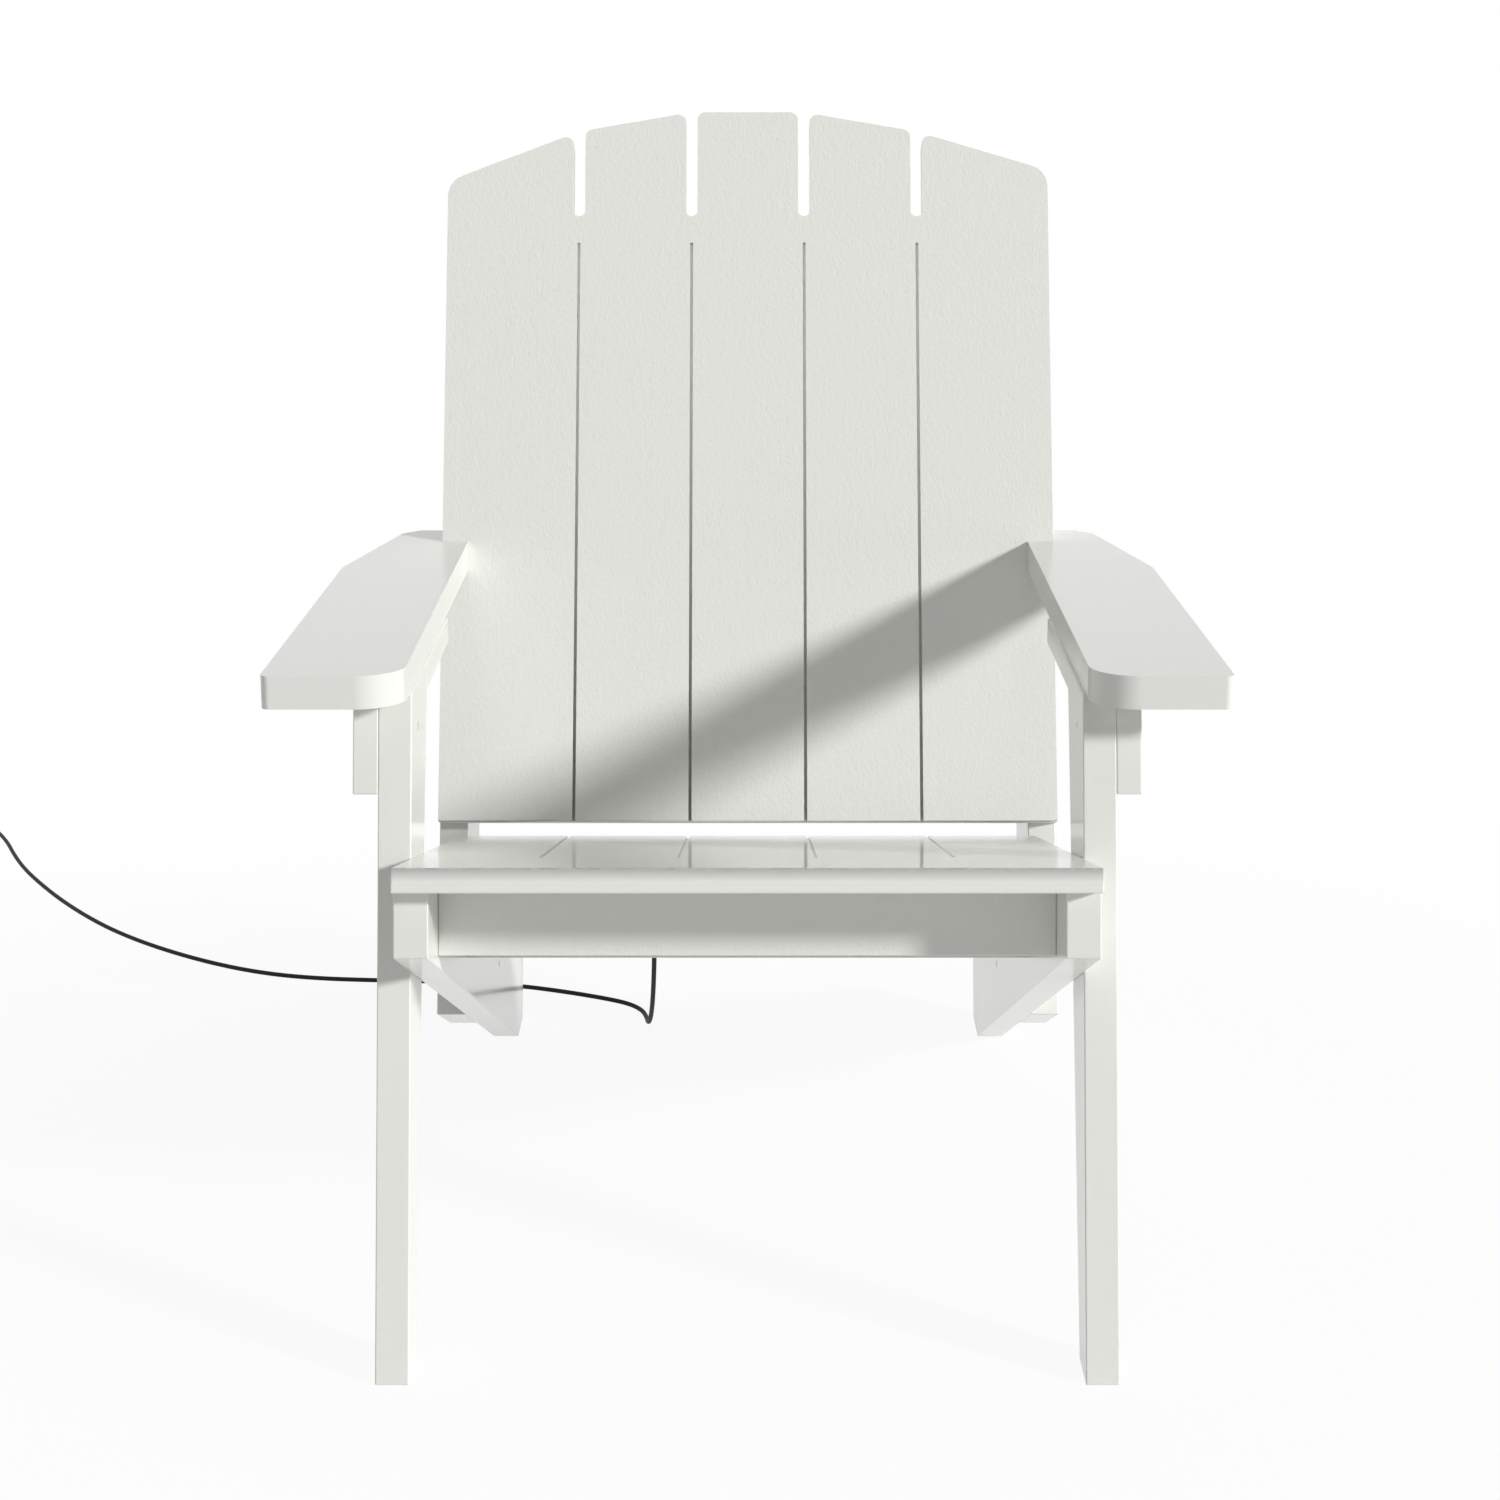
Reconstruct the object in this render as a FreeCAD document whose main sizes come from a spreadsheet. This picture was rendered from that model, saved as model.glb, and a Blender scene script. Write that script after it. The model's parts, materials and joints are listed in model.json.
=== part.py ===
import FreeCAD, Part
import os
import math
import Sketcher

# Adirondack chair with a mains lead, in millimetres.
# The front is -Y, up is +Z, and the origin is on the floor under the middle of the chair's box.
# Along Y every profile is drawn from the toe of the front leg, then moved back by chair_centre.

Vector = FreeCAD.Vector
doc = FreeCAD.newDocument("adirondack_chair")

# ---------------------------------------------------------------- driving dimensions
sizes = doc.addObject("Spreadsheet::Sheet", "Sizes")
DIMENSIONS = [
    ("board", 26.5),              # thickness of the legs, seat rails, uprights and arms
    ("panel", 19),                # thickness of the seat and back panels
    ("inside", 265),              # half the width between the two front legs
    ("round_over", 1.2),          # rounded edges of the boards
    ("chair_centre", 426.8),      # from the leg's toe back to the middle of the chair
    ("arm_top", 545),
    ("arm_out_front", 112),       # the arm's outer and inner edges, outside the leg's inner face
    ("arm_out_bend", 105),
    ("arm_out_rear", 69),
    ("arm_inner", 2),
    ("notch_gap", 0.3),           # between the arm's notch and the back panel
    ("notch_rise", 100),
    ("notch_room", 400),
    ("arm_nose", 107),            # places along the arm, from the leg's toe
    ("arm_bend", 545),
    ("arm_tail", 733),
    ("arm_tail_taper", 16),
    ("arm_nose_round", 38),
    ("arm_corner_round", 7),
    ("leg_toe", 48),              # depth of the leg at the floor
    ("leg_lean", 16.9),
    ("leg_back_lean", 23.7),
    ("rail_set_back", 14.5),      # seat rail's end behind the seat's front edge
    ("rail_end", 50),             # height of the seat rail's front end
    ("foot_front", 798),
    ("foot_rear", 855.5),
    ("tail_rear", 877.5),
    ("tail_height", 62),
    ("seat_front", -19),
    ("seat_top", 428.6),
    ("seat_slope", 13.6),
    ("seat_length", 536),
    ("seat_gap", 0.5),            # seat's side edge inside the leg
    ("seat_groove_start", 150),
    ("back_foot", 567.8),         # lower front edge of the back panel
    ("back_foot_height", 298.4),
    ("back_lean", 23.4),
    ("back_height", 697.6),
    ("shoulder_drop", 19.5),      # how far the crown falls at the outer slots
    ("left_drop", 70),            # and at the outer corners
    ("right_drop", 59),
    ("slot_inner", 54.5),         # slot and groove centres
    ("slot_outer", 163.8),
    ("slot_width", 11.2),
    ("slot_foot", 592),
    ("groove_width", 2.8),
    ("groove_depth", 2.2),
    ("groove_top", 565),
    ("crown_round", 8),
    ("shoulder_round", 22),
    ("upright_width", 121),
    ("upright_length", 622),
    ("batten", 20),               # thickness of the battens and of the outer bracket
    ("batten_height", 85),
    ("batten_low", 45),
    ("batten_high", 330),
    ("apron_place", 92),          # along the seat, from its front edge
    ("apron_height", 54),
    ("cross_rail_place", 332),
    ("cross_rail_height", 76),
    ("rear_rail_inset", 44),      # from the seat's rear edge
    ("rear_rail_height", 60),
    ("bracket_height", 76),
    ("bracket_depth", 74),
    ("cleat_height", 22),         # under-arm rail
    ("cleat_end", 447),
    ("rear_cleat", 90),           # length of the rear arm cleat on the upright
    ("bolt", 2.5),                # shank radius of the bolts
    ("bolt_head", 7),
    ("bolt_head_height", 3.6),
    ("nut", 3.6),                 # radius of the sleeve nuts
    ("nut_length", 14),
    ("proud", 0.2),               # how far a flush head stands out
    ("screw", 2.2),
    ("screw_head", 4.4),
    ("screw_head_height", 2.6),
    ("screw_edge", 40),           # from a board's end to its first screw
    ("screw_bite", 12),           # how far a screw goes into the panel or arm it holds
    ("box_width", 124),
    ("box_depth", 66),
    ("box_height", 48),
    ("box_wall", 3),
    ("box_drop", 24),             # from the seat's top face down to the box
    ("box_place", -105),          # middle of the power box, across the chair
    ("lead", 4.8),                # diameter of the mains lead
]
for row, (alias, number) in enumerate(DIMENSIONS, start=1):
    sizes.set(f"A{row}", alias)
    sizes.set(f"B{row}", str(number))
    sizes.setAlias(f"B{row}", alias)
doc.recompute()


def size(alias):
    """The number in the cell with this alias."""
    return float(sizes.get(alias))


def bind(item, prop, formula):
    """Tie a property to cells; in a formula each alias is written with a # before it."""
    item.setExpression(prop, formula.replace("#", "Sizes."))


# Places that several pieces share, written once as formulas on the cells.
SEAT_UNDER = "(#seat_top - #panel / cos(#seat_slope) - (y - #seat_front) * tan(#seat_slope))"


def seat_under(y):
    """Height of the seat's underside at a distance y behind the leg's toe."""
    return SEAT_UNDER.replace("(y -", f"(({y}) -")


ARM_UNDER = "(#arm_top - #board)"
RAIL_FRONT_TOP = "(#seat_front + #rail_set_back)"
RAIL_NOSE_Y = f"({RAIL_FRONT_TOP} - #rail_end * sin(#seat_slope))"
RAIL_NOSE_Z = f"({seat_under(RAIL_FRONT_TOP)} - #rail_end * cos(#seat_slope))"
UPRIGHT_Y = "(#back_foot + #panel * cos(#back_lean))"
UPRIGHT_Z = "(#back_foot_height - #panel * sin(#back_lean))"
UNDER_SLOPE = f"({RAIL_NOSE_Z} / (#foot_front - {RAIL_NOSE_Y}))"
# how far down the upright's front edge the rail's underside is, from the back panel's foot
UPRIGHT_DROP = (f"(({UPRIGHT_Z} - (#foot_front - {UPRIGHT_Y}) * {UNDER_SLOPE})"
                f" / (cos(#back_lean) + sin(#back_lean) * {UNDER_SLOPE}))")


# ---------------------------------------------------------------- helpers
def origin_plane(body, role):
    """One of a body's own origin planes."""
    for item in body.Origin.OriginFeatures:
        if item.Role == role:
            return item
    raise RuntimeError(f"{body.Label} has no {role}")


def outline(body, name, role, corners, offset=None):
    """A closed sketch of straight lines; each corner is a pair of formulas."""
    sketch = body.newObject("Sketcher::SketchObject", name)
    sketch.AttachmentSupport = [(origin_plane(body, role), "")]
    sketch.MapMode = "FlatFace"
    if offset:
        bind(sketch, "AttachmentOffset.Base.z", offset)
    count = len(corners)
    ring = [Vector(math.cos(2 * math.pi * i / count), math.sin(2 * math.pi * i / count), 0) * 100
            for i in range(count)]
    for i in range(count):
        sketch.addGeometry(Part.LineSegment(ring[i], ring[(i + 1) % count]), False)
    for i in range(count):
        sketch.addConstraint(Sketcher.Constraint("Coincident", i, 2, (i + 1) % count, 1))
    for i, (across, up) in enumerate(corners):
        for kind, formula, start in (("DistanceX", across, ring[i].x), ("DistanceY", up, ring[i].y)):
            index = sketch.addConstraint(Sketcher.Constraint(kind, -1, 1, i, 1, start))
            bind(sketch, f"Constraints[{index}]", formula)
    return sketch


def pad(body, sketch, thickness, reverse=False):
    """Thicken a sketch by a formula."""
    feature = body.newObject("PartDesign::Pad", sketch.Name + "_pad")
    feature.Profile = sketch
    bind(feature, "Length", thickness)
    feature.Reversed = reverse
    doc.recompute()
    return feature


def pocket(body, sketch, depth, reverse=False):
    """Cut a sketch into the body by a formula, and see that it really cut."""
    before = body.Shape.Volume
    feature = body.newObject("PartDesign::Pocket", sketch.Name + "_pocket")
    feature.Profile = sketch
    bind(feature, "Length", depth)
    feature.Reversed = reverse
    doc.recompute()
    if body.Shape.Volume >= before:
        raise RuntimeError(f"{feature.Name} cuts nothing")
    return feature


def fillet_edges(body, radius, chosen):
    """Round the edges of the body's last feature for which chosen(edge) is true."""
    base = body.Tip
    names = [f"Edge{i}" for i, edge in enumerate(base.Shape.Edges, start=1) if chosen(edge)]
    if not names:
        raise RuntimeError(f"{body.Label} has no such edge to round")
    feature = body.newObject("PartDesign::Fillet", body.Name + "_round")
    feature.Base = (base, names)
    bind(feature, "Radius", radius)
    doc.recompute()
    return feature


def along(edge, axis):
    """True for a straight edge that runs along an axis of its own body."""
    if len(edge.Vertexes) != 2:
        return False
    run = edge.Vertexes[1].Point - edge.Vertexes[0].Point
    return run.Length > 0 and abs(abs(run.normalize().dot(axis)) - 1) < 1e-6


def place(item, x="0", y="0", z="0", lean=None):
    """Put a piece where three formulas say, leaning back by an angle."""
    bind(item, "Placement.Base.x", x)
    bind(item, "Placement.Base.y", f"{y} - #chair_centre")
    bind(item, "Placement.Base.z", z)
    if lean:
        item.Placement = FreeCAD.Placement(item.Placement.Base, FreeCAD.Rotation(Vector(-1, 0, 0), 10))
        bind(item, "Placement.Rotation.Angle", lean)


def new_body(name):
    return doc.addObject("PartDesign::Body", name)


def rounded_board(name, corners, thickness, x, y="0", z="0", lean=None, role="YZ_Plane"):
    """A flat board: its outline, its thickness and its rounded edges."""
    body = new_body(name + "_blank")
    pad(body, outline(body, name + "_outline", role, corners), thickness)
    fillet_edges(body, "#round_over", lambda edge: True)
    place(body, x, y, z, lean)
    doc.recompute()
    return body


def side_x(side, near, thickness):
    """Lower X of a board that lies beyond `near` on one side of the chair."""
    return f"({near})" if side > 0 else f"(-({near}) - ({thickness}))"


nodes = {}
SIDES = (("left", -1), ("right", 1))

# ---------------------------------------------------------------- front legs
for side_name, side in SIDES:
    nodes[f"front_leg_{side_name}"] = rounded_board(
        f"front_leg_{side_name}",
        [("0", "0"),
         ("#leg_toe", "0"),
         (f"#leg_toe + {ARM_UNDER} * tan(#leg_back_lean)", ARM_UNDER),
         (f"{ARM_UNDER} * tan(#leg_lean)", ARM_UNDER)],
        "#board", side_x(side, "#inside", "#board"))

# ---------------------------------------------------------------- seat rails, with the rear feet
SEAT_END_Y = "(#seat_front + #seat_length * cos(#seat_slope))"
for side_name, side in SIDES:
    nodes[f"seat_rail_{side_name}"] = rounded_board(
        f"seat_rail_{side_name}",
        [(RAIL_NOSE_Y, RAIL_NOSE_Z),
         ("#foot_front", "0"),
         ("#foot_rear", "0"),
         ("#tail_rear", "#tail_height"),
         (SEAT_END_Y, seat_under(SEAT_END_Y)),
         (RAIL_FRONT_TOP, seat_under(RAIL_FRONT_TOP))],
        "#board", side_x(side, "#inside - #board", "#board"))

# ---------------------------------------------------------------- rear uprights
for side_name, side in SIDES:
    nodes[f"back_upright_{side_name}"] = rounded_board(
        f"back_upright_{side_name}",
        [("0", f"-{UPRIGHT_DROP}"),
         ("#upright_width", f"-{UPRIGHT_DROP}"),
         ("#upright_width", f"#upright_length - {UPRIGHT_DROP}"),
         ("0", f"#upright_length - {UPRIGHT_DROP}")],
        "#board", side_x(side, "#inside", "#board"), UPRIGHT_Y, UPRIGHT_Z, "#back_lean")

# ---------------------------------------------------------------- back panel
HALF_BACK = "(#inside + #board)"
back = new_body("back_panel_blank")
pad(back, outline(back, "back_outline", "XZ_Plane", [
    (f"-{HALF_BACK}", "0"),
    (HALF_BACK, "0"),
    (HALF_BACK, "#back_height - #right_drop"),
    ("#slot_outer", "#back_height - #shoulder_drop"),
    ("#slot_inner", "#back_height"),
    ("-#slot_inner", "#back_height"),
    ("-#slot_outer", "#back_height - #shoulder_drop"),
    (f"-{HALF_BACK}", "#back_height - #left_drop")]), "#panel", reverse=True)
STRIPES = (("-#slot_outer", "a"), ("-#slot_inner", "b"), ("#slot_inner", "c"), ("#slot_outer", "d"))
for middle, letter in STRIPES:
    low, high = f"{middle} - #slot_width / 2", f"{middle} + #slot_width / 2"
    pocket(back, outline(back, "slot_" + letter, "XZ_Plane", [
        (low, "#slot_foot"), (high, "#slot_foot"),
        (high, "#back_height + 20"), (low, "#back_height + 20")]), "#panel")
    low, high = f"{middle} - #groove_width / 2", f"{middle} + #groove_width / 2"
    pocket(back, outline(back, "groove_" + letter, "XZ_Plane", [
        (low, "-1"), (high, "-1"), (high, "#groove_top"), (low, "#groove_top")]), "#groove_depth")
across = Vector(0, 1, 0)
fillet_edges(back, "#shoulder_round", lambda edge: along(edge, across)
             and edge.BoundBox.ZMin > size("groove_top") and abs(edge.BoundBox.XMin) > size("inside"))
fillet_edges(back, "#crown_round", lambda edge: along(edge, across)
             and edge.BoundBox.ZMin > size("slot_foot") + 40 and abs(edge.BoundBox.XMin) < size("slot_outer") + 20)
fillet_edges(back, "#slot_width / 2 - 0.3", lambda edge: along(edge, across)
             and abs(edge.BoundBox.ZMin - size("slot_foot")) < 0.01)
place(back, "0", "#back_foot", "#back_foot_height", "#back_lean")
nodes["back_panel"] = back

# ---------------------------------------------------------------- seat panel
HALF_SEAT = "(#inside - #seat_gap)"
seat = new_body("seat_panel_blank")
pad(seat, outline(seat, "seat_outline", "XY_Plane", [
    (f"-{HALF_SEAT}", "0"),
    (HALF_SEAT, "0"),
    (HALF_SEAT, "#seat_length"),
    (f"-{HALF_SEAT}", "#seat_length")]), "#panel", reverse=True)
for middle, letter in STRIPES:
    low, high = f"{middle} - #groove_width / 2", f"{middle} + #groove_width / 2"
    pocket(seat, outline(seat, "seat_groove_" + letter, "XY_Plane", [
        (low, "#seat_groove_start"), (high, "#seat_groove_start"),
        (high, "#seat_length + 1"), (low, "#seat_length + 1")]), "#groove_depth")
place(seat, "0", "#seat_front", "#seat_top", "#seat_slope")
nodes["seat_panel"] = seat

# ---------------------------------------------------------------- arms
# The inner strip of the arm stops at the back panel; the outer strip runs on beside the upright.
for side_name, side in SIDES:
    arm = new_body(f"arm_{side_name}_blank")
    pad(arm, outline(arm, f"arm_{side_name}_outline", "XY_Plane", [
        (f"{side} * (#inside + #arm_inner)", "#arm_nose"),
        (f"{side} * (#inside + #arm_out_front)", "#arm_nose"),
        (f"{side} * (#inside + #arm_out_bend)", "#arm_bend"),
        (f"{side} * (#inside + #arm_out_rear)", "#arm_tail - #arm_tail_taper"),
        (f"{side} * (#inside + #arm_out_rear - #arm_tail_taper)", "#arm_tail"),
        (f"{side} * (#inside + #arm_inner)", "#arm_tail")]), "#board")
    tail_side = size("inside") + size("arm_out_rear") - size("arm_tail_taper")
    upwards = Vector(0, 0, 1)
    fillet_edges(arm, "#arm_nose_round", lambda edge: along(edge, upwards)
                 and edge.BoundBox.YMax < size("arm_nose") + 1 and abs(edge.BoundBox.XMin) < size("inside") + 10)
    fillet_edges(arm, "#arm_corner_round", lambda edge: along(edge, upwards)
                 and abs(edge.BoundBox.XMin) > tail_side - 1)
    place(arm, "0", "0", ARM_UNDER)
    notch = doc.addObject("Part::Box", f"arm_notch_{side_name}")
    bind(notch, "Length", "#board + #notch_room")
    bind(notch, "Width", "#notch_room")
    bind(notch, "Height", "#notch_room")
    reach = f"{HALF_BACK} + #notch_gap"
    place(notch, f"-({reach})" if side < 0 else f"{reach} - #board - #notch_room",
          "#back_foot + #notch_rise * sin(#back_lean) - #notch_gap",
          "#back_foot_height + #notch_rise * cos(#back_lean)", "#back_lean")
    notched = doc.addObject("Part::Cut", f"arm_{side_name}_notched")
    notched.Base = arm
    notched.Tool = notch
    nodes[f"arm_{side_name}"] = notched
doc.recompute()

# ---------------------------------------------------------------- brackets and cleats under the arms
for side_name, side in SIDES:
    nodes[f"arm_bracket_{side_name}"] = rounded_board(
        f"arm_bracket_{side_name}",
        [(f"({ARM_UNDER} - #bracket_height) * tan(#leg_lean)", f"{ARM_UNDER} - #bracket_height"),
         (f"({ARM_UNDER} - #bracket_height) * tan(#leg_lean) + #bracket_depth",
          f"{ARM_UNDER} - #bracket_height"),
         (f"{ARM_UNDER} * tan(#leg_lean) + #bracket_depth", ARM_UNDER),
         (f"{ARM_UNDER} * tan(#leg_lean)", ARM_UNDER)],
        "#batten", side_x(side, HALF_BACK, "#batten"))
    leg_back = "#leg_toe + {0} * tan(#leg_back_lean)"
    low = f"({ARM_UNDER} - #cleat_height)"
    nodes[f"arm_rail_{side_name}"] = rounded_board(
        f"arm_rail_{side_name}",
        [(leg_back.format(low), low), ("#cleat_end", low),
         ("#cleat_end", ARM_UNDER), (leg_back.format(ARM_UNDER), ARM_UNDER)],
        "#board", side_x(side, "#inside", "#board"))
    rear = f"{UPRIGHT_Y} + ({ARM_UNDER} - {UPRIGHT_Z}) * tan(#back_lean)"
    nodes[f"arm_cleat_{side_name}"] = rounded_board(
        f"arm_cleat_{side_name}",
        [(f"{rear} - 8", f"{ARM_UNDER} - #batten_height / 2"),
         (f"{rear} - 48 + #rear_cleat", f"{ARM_UNDER} - #batten_height / 2"),
         (f"{rear} - 48 + #rear_cleat", ARM_UNDER),
         (f"{rear} - 8", ARM_UNDER)],
        "#batten", side_x(side, HALF_BACK, "#batten"))

# ---------------------------------------------------------------- boards across the seat frame
BETWEEN = "2 * (#inside - #board)"
REAR_RAIL = "(#seat_length - #rear_rail_inset)"
for name, where, height, thickness in (
        ("front_apron", "#apron_place", "#apron_height", "#batten"),
        ("cross_rail", "#cross_rail_place", "#cross_rail_height", "#batten"),
        ("rear_rail", REAR_RAIL, "#rear_rail_height", "#batten")):
    nodes[name] = rounded_board(
        name,
        [(where, f"-#panel - {height}"), (f"{where} + {thickness}", f"-#panel - {height}"),
         (f"{where} + {thickness}", "-#panel"), (where, "-#panel")],
        BETWEEN, "#board - #inside", "#seat_front", "#seat_top", "#seat_slope")

# ---------------------------------------------------------------- battens behind the back panel
for name, low in (("back_batten_lower", "#batten_low"), ("back_batten_upper", "#batten_high")):
    nodes[name] = rounded_board(
        name,
        [("#panel", low), ("#panel + #batten", low),
         ("#panel + #batten", f"{low} + #batten_height"), ("#panel", f"{low} + #batten_height")],
        "2 * #inside", "-#inside", "#back_foot", "#back_foot_height", "#back_lean")

# ---------------------------------------------------------------- fasteners
# Bolts are countersunk from the outside and end in sleeve nuts set flush in the inner faces. Every
# screw is driven from behind or from below, so that no head shows on the seat, back or arms.
hardware = {}


def rod(name, radius, length):
    """A plain cylinder."""
    item = doc.addObject("Part::Cylinder", name)
    bind(item, "Radius", radius)
    bind(item, "Height", length)
    return item


def joined(name, pieces):
    """Several touching shapes made one."""
    item = doc.addObject("Part::MultiFuse", name)
    item.Shapes = pieces
    return item


def turned(item, frame, spin):
    """Set an item's Placement: the frame it lies in, then its own spin."""
    item.Placement = frame.multiply(FreeCAD.Placement(Vector(0, 0, 0), spin))


def lean_frame(y, z, angle):
    """The leaning frame of a panel whose lower front edge is at y, z."""
    return FreeCAD.Placement(Vector(0, y - size("chair_centre"), z), FreeCAD.Rotation(Vector(-1, 0, 0), angle))


def bolt_and_nut(group, index, side, y, z, outer, inner):
    """A countersunk bolt from the outside and a sleeve nut set in the inner face."""
    outward = FreeCAD.Rotation(Vector(0, 1, 0), 90 * side)
    tag = f"{group}_{index}"
    proud = size("proud")
    head = doc.addObject("Part::Cone", tag + "_head")
    bind(head, "Radius1", "#bolt")
    bind(head, "Radius2", "#bolt_head")
    bind(head, "Height", "#bolt_head_height")
    shank = rod(tag + "_shank", "#bolt", f"{outer - inner} - #bolt_head_height + #proud - 2")
    sleeve = rod(tag + "_sleeve", "#nut", "#nut_length")
    for item, distance in ((head, outer + proud - size("bolt_head_height")),
                           (shank, inner + 2), (sleeve, inner - proud)):
        turned(item, FreeCAD.Placement(Vector(side * distance, y, z), FreeCAD.Rotation()), outward)
    hardware.setdefault(group + "_bolts", []).append(joined(tag + "_bolt", [head, shank]))
    bored = doc.addObject("Part::Cut", tag + "_nut")
    bored.Base = sleeve
    bored.Tool = shank
    hardware.setdefault(group + "_nuts", []).append(bored)


def screw(group, index, frame, spot, into, length):
    """A pan-headed screw in a counterbore: its head and its shank, driven along `into`."""
    tag = f"{group}_{index}"
    head = rod(tag + "_head", "#screw_head", "#screw_head_height")
    shank = rod(tag + "_shank", "#screw", length)
    spin = FreeCAD.Rotation(Vector(0, 0, 1), into)
    for part in (head, shank):
        part.Placement = frame.multiply(FreeCAD.Placement(spot, spin))
    hardware.setdefault(group, []).append(joined(tag + "_screw", [head, shank]))


centre = size("chair_centre")
inside, board = size("inside"), size("board")
leg_slope = math.tan(math.radians(size("leg_lean")))
under = size("arm_top") - board
seat_slope = math.radians(size("seat_slope"))
back_lean = math.radians(size("back_lean"))


def rail_middle(y):
    """Height halfway between the seat's underside and the rail's underside."""
    top = size("seat_top") - size("panel") / math.cos(seat_slope) - (y - size("seat_front")) * math.tan(seat_slope)
    nose_y = size("seat_front") + size("rail_set_back") - size("rail_end") * math.sin(seat_slope)
    nose_z = (size("seat_top") - size("panel") / math.cos(seat_slope)
              - size("rail_set_back") * math.tan(seat_slope) - size("rail_end") * math.cos(seat_slope))
    bottom = nose_z * (size("foot_front") - y) / (size("foot_front") - nose_y)
    return (top + bottom) / 2


LEG_BOLTS = ((150, 8), (188, -4))        # behind the leg's toe, above the rail's middle
UPRIGHT_BOLTS = (-128, -78)              # along the upright, from the back panel's foot
UPRIGHT_MIDDLE = 78                      # from the back panel's face to the upright's middle
ARM_BOLT_DROP = 34                       # below the arm's underside, through the front bracket
CLEAT_BOLT_DROP = 22                     # and through the rear cleat
BOLT_BEHIND = 46
for side_name, side in SIDES:
    tag = 0 if side < 0 else 2
    for step, (y, above) in enumerate(LEG_BOLTS):
        bolt_and_nut("leg", tag + step, side, y - centre, rail_middle(y) + above,
                     inside + board, inside - board)
    for step, rise in enumerate(UPRIGHT_BOLTS):
        y = size("back_foot") + UPRIGHT_MIDDLE * math.cos(back_lean) + rise * math.sin(back_lean)
        z = size("back_foot_height") - UPRIGHT_MIDDLE * math.sin(back_lean) + rise * math.cos(back_lean)
        bolt_and_nut("upright", tag + step, side, y - centre, z, inside + board, inside - board)
    bolt_and_nut("bracket", tag, side, (under - ARM_BOLT_DROP) * leg_slope + BOLT_BEHIND - centre,
                 under - ARM_BOLT_DROP, inside + board + size("batten"), inside)
    cleat_y = size("back_foot") + (under - size("back_foot_height")) * math.tan(back_lean) + BOLT_BEHIND
    bolt_and_nut("bracket", tag + 1, side, cleat_y - centre, under - CLEAT_BOLT_DROP,
                 inside + board + size("batten"), inside)

seat_frame = lean_frame(size("seat_front"), size("seat_top"), size("seat_slope"))
back_frame = lean_frame(size("back_foot"), size("back_foot_height"), size("back_lean"))
# Up through the boards under the seat, into the seat panel.
seat_screw = inside - board - size("screw_edge")
number = 0
rear_rail = size("seat_length") - size("rear_rail_inset")
for board_place, height_name in ((size("apron_place"), "apron_height"),
                                 (size("cross_rail_place"), "cross_rail_height"),
                                 (rear_rail, "rear_rail_height")):
    for across in (-seat_screw, seat_screw):
        run = board_place + size("batten") / 2
        low = -size("panel") - size(height_name) - size("proud")
        screw("seat_screws", number, seat_frame, Vector(across, run, low), Vector(0, 0, 1),
              f"#{height_name} + #screw_bite")
        number += 1
# Forward through the battens, into the back panel.
back_screw = inside - size("screw_edge")
number = 0
for low in ("batten_low", "batten_high"):
    for across in (-back_screw, -back_screw / 2, back_screw / 2, back_screw):
        rise = size(low) + size("batten_height") / 2
        behind = size("panel") + size("batten") + size("proud")
        screw("back_screws", number, back_frame, Vector(across, behind, rise), Vector(0, -1, 0),
              "#batten + #screw_bite")
        number += 1
# Up through the under-arm rails, into the arms.
number = 0
for side in (-1, 1):
    for y in (310, 410):
        low = under - size("cleat_height") - size("proud")
        screw("arm_screws", number, FreeCAD.Placement(), Vector(side * (inside + board / 2), y - centre, low),
              Vector(0, 0, 1), "#cleat_height + #screw_bite")
        number += 1
doc.recompute()
nodes_hardware = {}
for name, pieces in hardware.items():
    group = doc.addObject("Part::Compound", name + "_group")
    group.Links = pieces
    nodes_hardware[name] = group
every_fastener = doc.addObject("Part::Compound", "every_fastener")
every_fastener.Links = list(nodes_hardware.values())
doc.recompute()

for name in list(nodes):
    bored = doc.addObject("Part::Cut", name + "_bored")
    bored.Base = nodes[name]
    bored.Tool = every_fastener
    nodes[name] = bored
nodes.update(nodes_hardware)
doc.recompute()

# ---------------------------------------------------------------- power box under the seat's rear
outer_box = doc.addObject("Part::Box", "box_outer")
inner_box = doc.addObject("Part::Box", "box_inner")
for item, shrink in ((outer_box, "0"), (inner_box, "#box_wall")):
    bind(item, "Length", f"#box_width - 2 * {shrink}")
    bind(item, "Width", f"#box_depth - 2 * {shrink}")
    bind(item, "Height", "#box_height")
    run = f"({REAR_RAIL} + #batten + {shrink})"
    drop = "(#box_drop + #box_height)"
    place(item, f"#box_place - #box_width / 2 + {shrink}",
          f"#seat_front + {run} * cos(#seat_slope) - {drop} * sin(#seat_slope)",
          f"#seat_top - {run} * sin(#seat_slope) - {drop} * cos(#seat_slope)", "#seat_slope")
doc.recompute()
bind(inner_box, "Height", "#box_height - #box_wall")
gland_run = rear_rail + size("batten") + size("box_depth")
GLAND_X = -90
GLAND_DROP = 50
gland_hole = rod("gland_hole", "#lead / 2 + 3.6", "#box_wall + 4")
gland_axis = FreeCAD.Rotation(Vector(0, 0, 1), Vector(0, 1, 0))
gland_hole.Placement = seat_frame.multiply(FreeCAD.Placement(
    Vector(GLAND_X, gland_run - size("box_wall") - 2, -GLAND_DROP), gland_axis))
box_void = joined("box_void", [inner_box, gland_hole])
shell = doc.addObject("Part::Cut", "box_shell")
shell.Base = outer_box
shell.Tool = box_void
nodes["power_box"] = shell

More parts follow.
